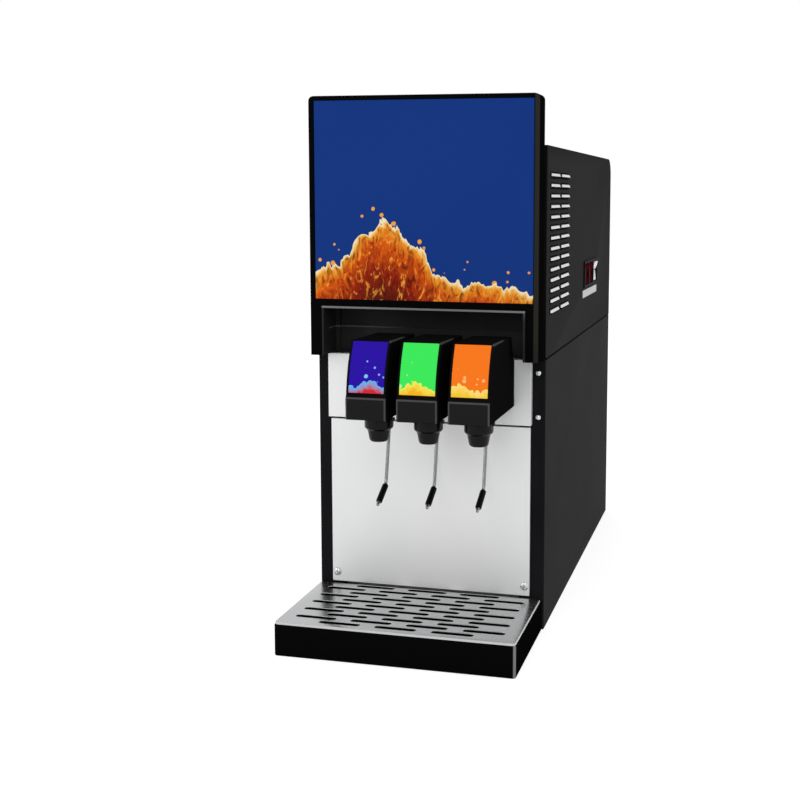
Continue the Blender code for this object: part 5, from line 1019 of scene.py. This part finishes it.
line = add(tree, "ShaderNodeMix", line, data_type="RGBA")
tree.links.new(line.outputs[2], shader.inputs["Base Color"])
for k, finish in ((1, red_rocker), (2, red_rocker), (3, white_rocker)):
    dress(f"rocker_{k}", finish, 0.6 * MM, 3)
plate_finish, tree, shader, where = surface("anodised_plate_grey", "b9bab8", 0.42, metallic=0.3)
grained(tree, shader, where, 0.5 * MM, 0.006 * MM, stretch=(1, 0.05, 1))
dress("switch_plate", plate_finish, 0.2 * MM, 1)

# Inlets: turned brass hose tails with a nut against the rear panel, one each for water, gas and three syrups.
# Each has three sharp barbs and an open bore.
brass, tree, shader, where = surface("brass_turned", "b8914a", 0.26, metallic=1.0)
grained(tree, shader, where, 0.4 * MM, 0.006 * MM, stretch=(1, 1, 0.1), rough=(0.2, 0.34))
toned(tree, shader, where, 6 * MM, ("a98140", "c69d55"))
tail = [(0, -11.0), (7.0, -11.0), (7.0, 0.3), (10.0, 0.3), (10.0, 5.6), (9.2, 6.3)]
for k in range(3):
    start = 6.3 + 5.5 * k
    tail += [(4.8 if k else 6.0, start), (6.2, start + 0.3), (4.8, start + 5.0)]
tail += [(4.6, 22.8), (3.0, 22.8), (3.0, 4.0), (0, 4.0)]
bm = bmesh.new()
turned(bm, [(r * MM, h * MM) for r, h in tail], 32, Matrix.Rotation(-math.pi / 2, 4, "X"))
bmesh.ops.recalc_face_normals(bm, faces=bm.faces)
tail_mesh = bpy.data.meshes.new("hose_tail")
bm.to_mesh(tail_mesh)
bm.free()
tail_mesh.materials.append(brass)
for name in ("water_inlet", "gas_inlet", "syrup_inlet_1", "syrup_inlet_2", "syrup_inlet_3"):
    middle = centre_of(name)
    shown(
        f"{name}_tail", tail_mesh, "cabinet",
        (name,), (middle.x, rear_face - 1.8 * MM, middle.z), 30
    )

# Power inlet: a moulded panel socket with three flat pins, for a cord that the photograph doesn't show.
dress("power_inlet", bezel_plastic, 0.5 * MM, 2)
low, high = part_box("power_inlet")
middle = (low + high) / 2
bm = bmesh.new()
for dx, dz in ((-9, -2), (9, -2), (0, 3)):
    pin = Matrix.Translation(
        (middle.x + dx * MM, high.y - 6 * MM, middle.z + dz * MM)
    ) @ Matrix.Diagonal((2 * MM, 9 * MM, 6 * MM, 1))
    bmesh.ops.create_cube(bm, size=1, matrix=pin)
pins = piece("power_pins", bm, brass, "cabinet")
soft = pins.modifiers.new("soft_edges", "BEVEL")
soft.width, soft.segments = 0.4 * MM, 2

# Inside the cabinet: the insulated bath with its copper coil, and the refrigeration on the deck above it.
# None of it shows from outside, so each piece keeps its CAD shape under its own finish.
liner, tree, shader, where = surface("polyethylene_liner", "c9c9c3", 0.55)
grained(tree, shader, where, 2.5 * MM, 0.05 * MM)
dress("water_bath", liner, 0.8 * MM)
copper, tree, shader, where = surface("copper_tube", "b66a3f", 0.32, metallic=1.0)
toned(tree, shader, where, 14 * MM, ("8a4a2c", "c67a4c"))
grained(tree, shader, where, 0.6 * MM, 0.01 * MM, rough=(0.25, 0.42))
dress("evaporator_coil", copper)
zinc, tree, shader, where = surface("galvanised_sheet", "aeb1b3", 0.40, metallic=1.0)
toned(tree, shader, where, 11 * MM, ("9a9da0", "bfc2c4"))
grained(tree, shader, where, 5 * MM, 0.01 * MM, rough=(0.34, 0.48))
for name in ("deck", "fan_shroud", "agitator"):
    dress(name, zinc, 0.3 * MM, 1)
cast, tree, shader, where = surface("aluminium_cast", "9b9d9f", 0.48, metallic=1.0)
grained(tree, shader, where, 1.4 * MM, 0.06 * MM, rough=(0.42, 0.58))
for name in ("agitator_motor", "water_pump"):
    dress(name, cast, 0.8 * MM)
fins, tree, shader, where = surface("aluminium_fins", "cfd1d2", 0.36, metallic=1.0)
grained(tree, shader, where, 1.0 * MM, 0.01 * MM, stretch=(1, 1, 0.1))
dress("condenser", fins, 0.2 * MM, 1)
enamel, tree, shader, where = surface("enamel_black", "17181a", 0.36, level=0.4)
grained(tree, shader, where, 1.6 * MM, 0.03 * MM)
for name in ("compressor", "fan_motor"):
    dress(name, enamel, 0.8 * MM)
fan_nylon, tree, shader, where = surface("nylon_fan_grey", "55575a", 0.5)
grained(tree, shader, where, 1.0 * MM, 0.02 * MM)
dress("fan", fan_nylon, 0.3 * MM, 1)
tank, tree, shader, where = surface("stainless_drawn", "c4c6c8", 0.26, metallic=1.0)
grained(tree, shader, where, 0.6 * MM, 0.008 * MM, stretch=(1, 1, 0.04), rough=(0.2, 0.34))
dress("carbonator", tank)
grey_enamel, tree, shader, where = surface("enamel_grey", "7d8083", 0.46)
grained(tree, shader, where, 0.9 * MM, 0.02 * MM)
dress("control_box", grey_enamel, 0.5 * MM)
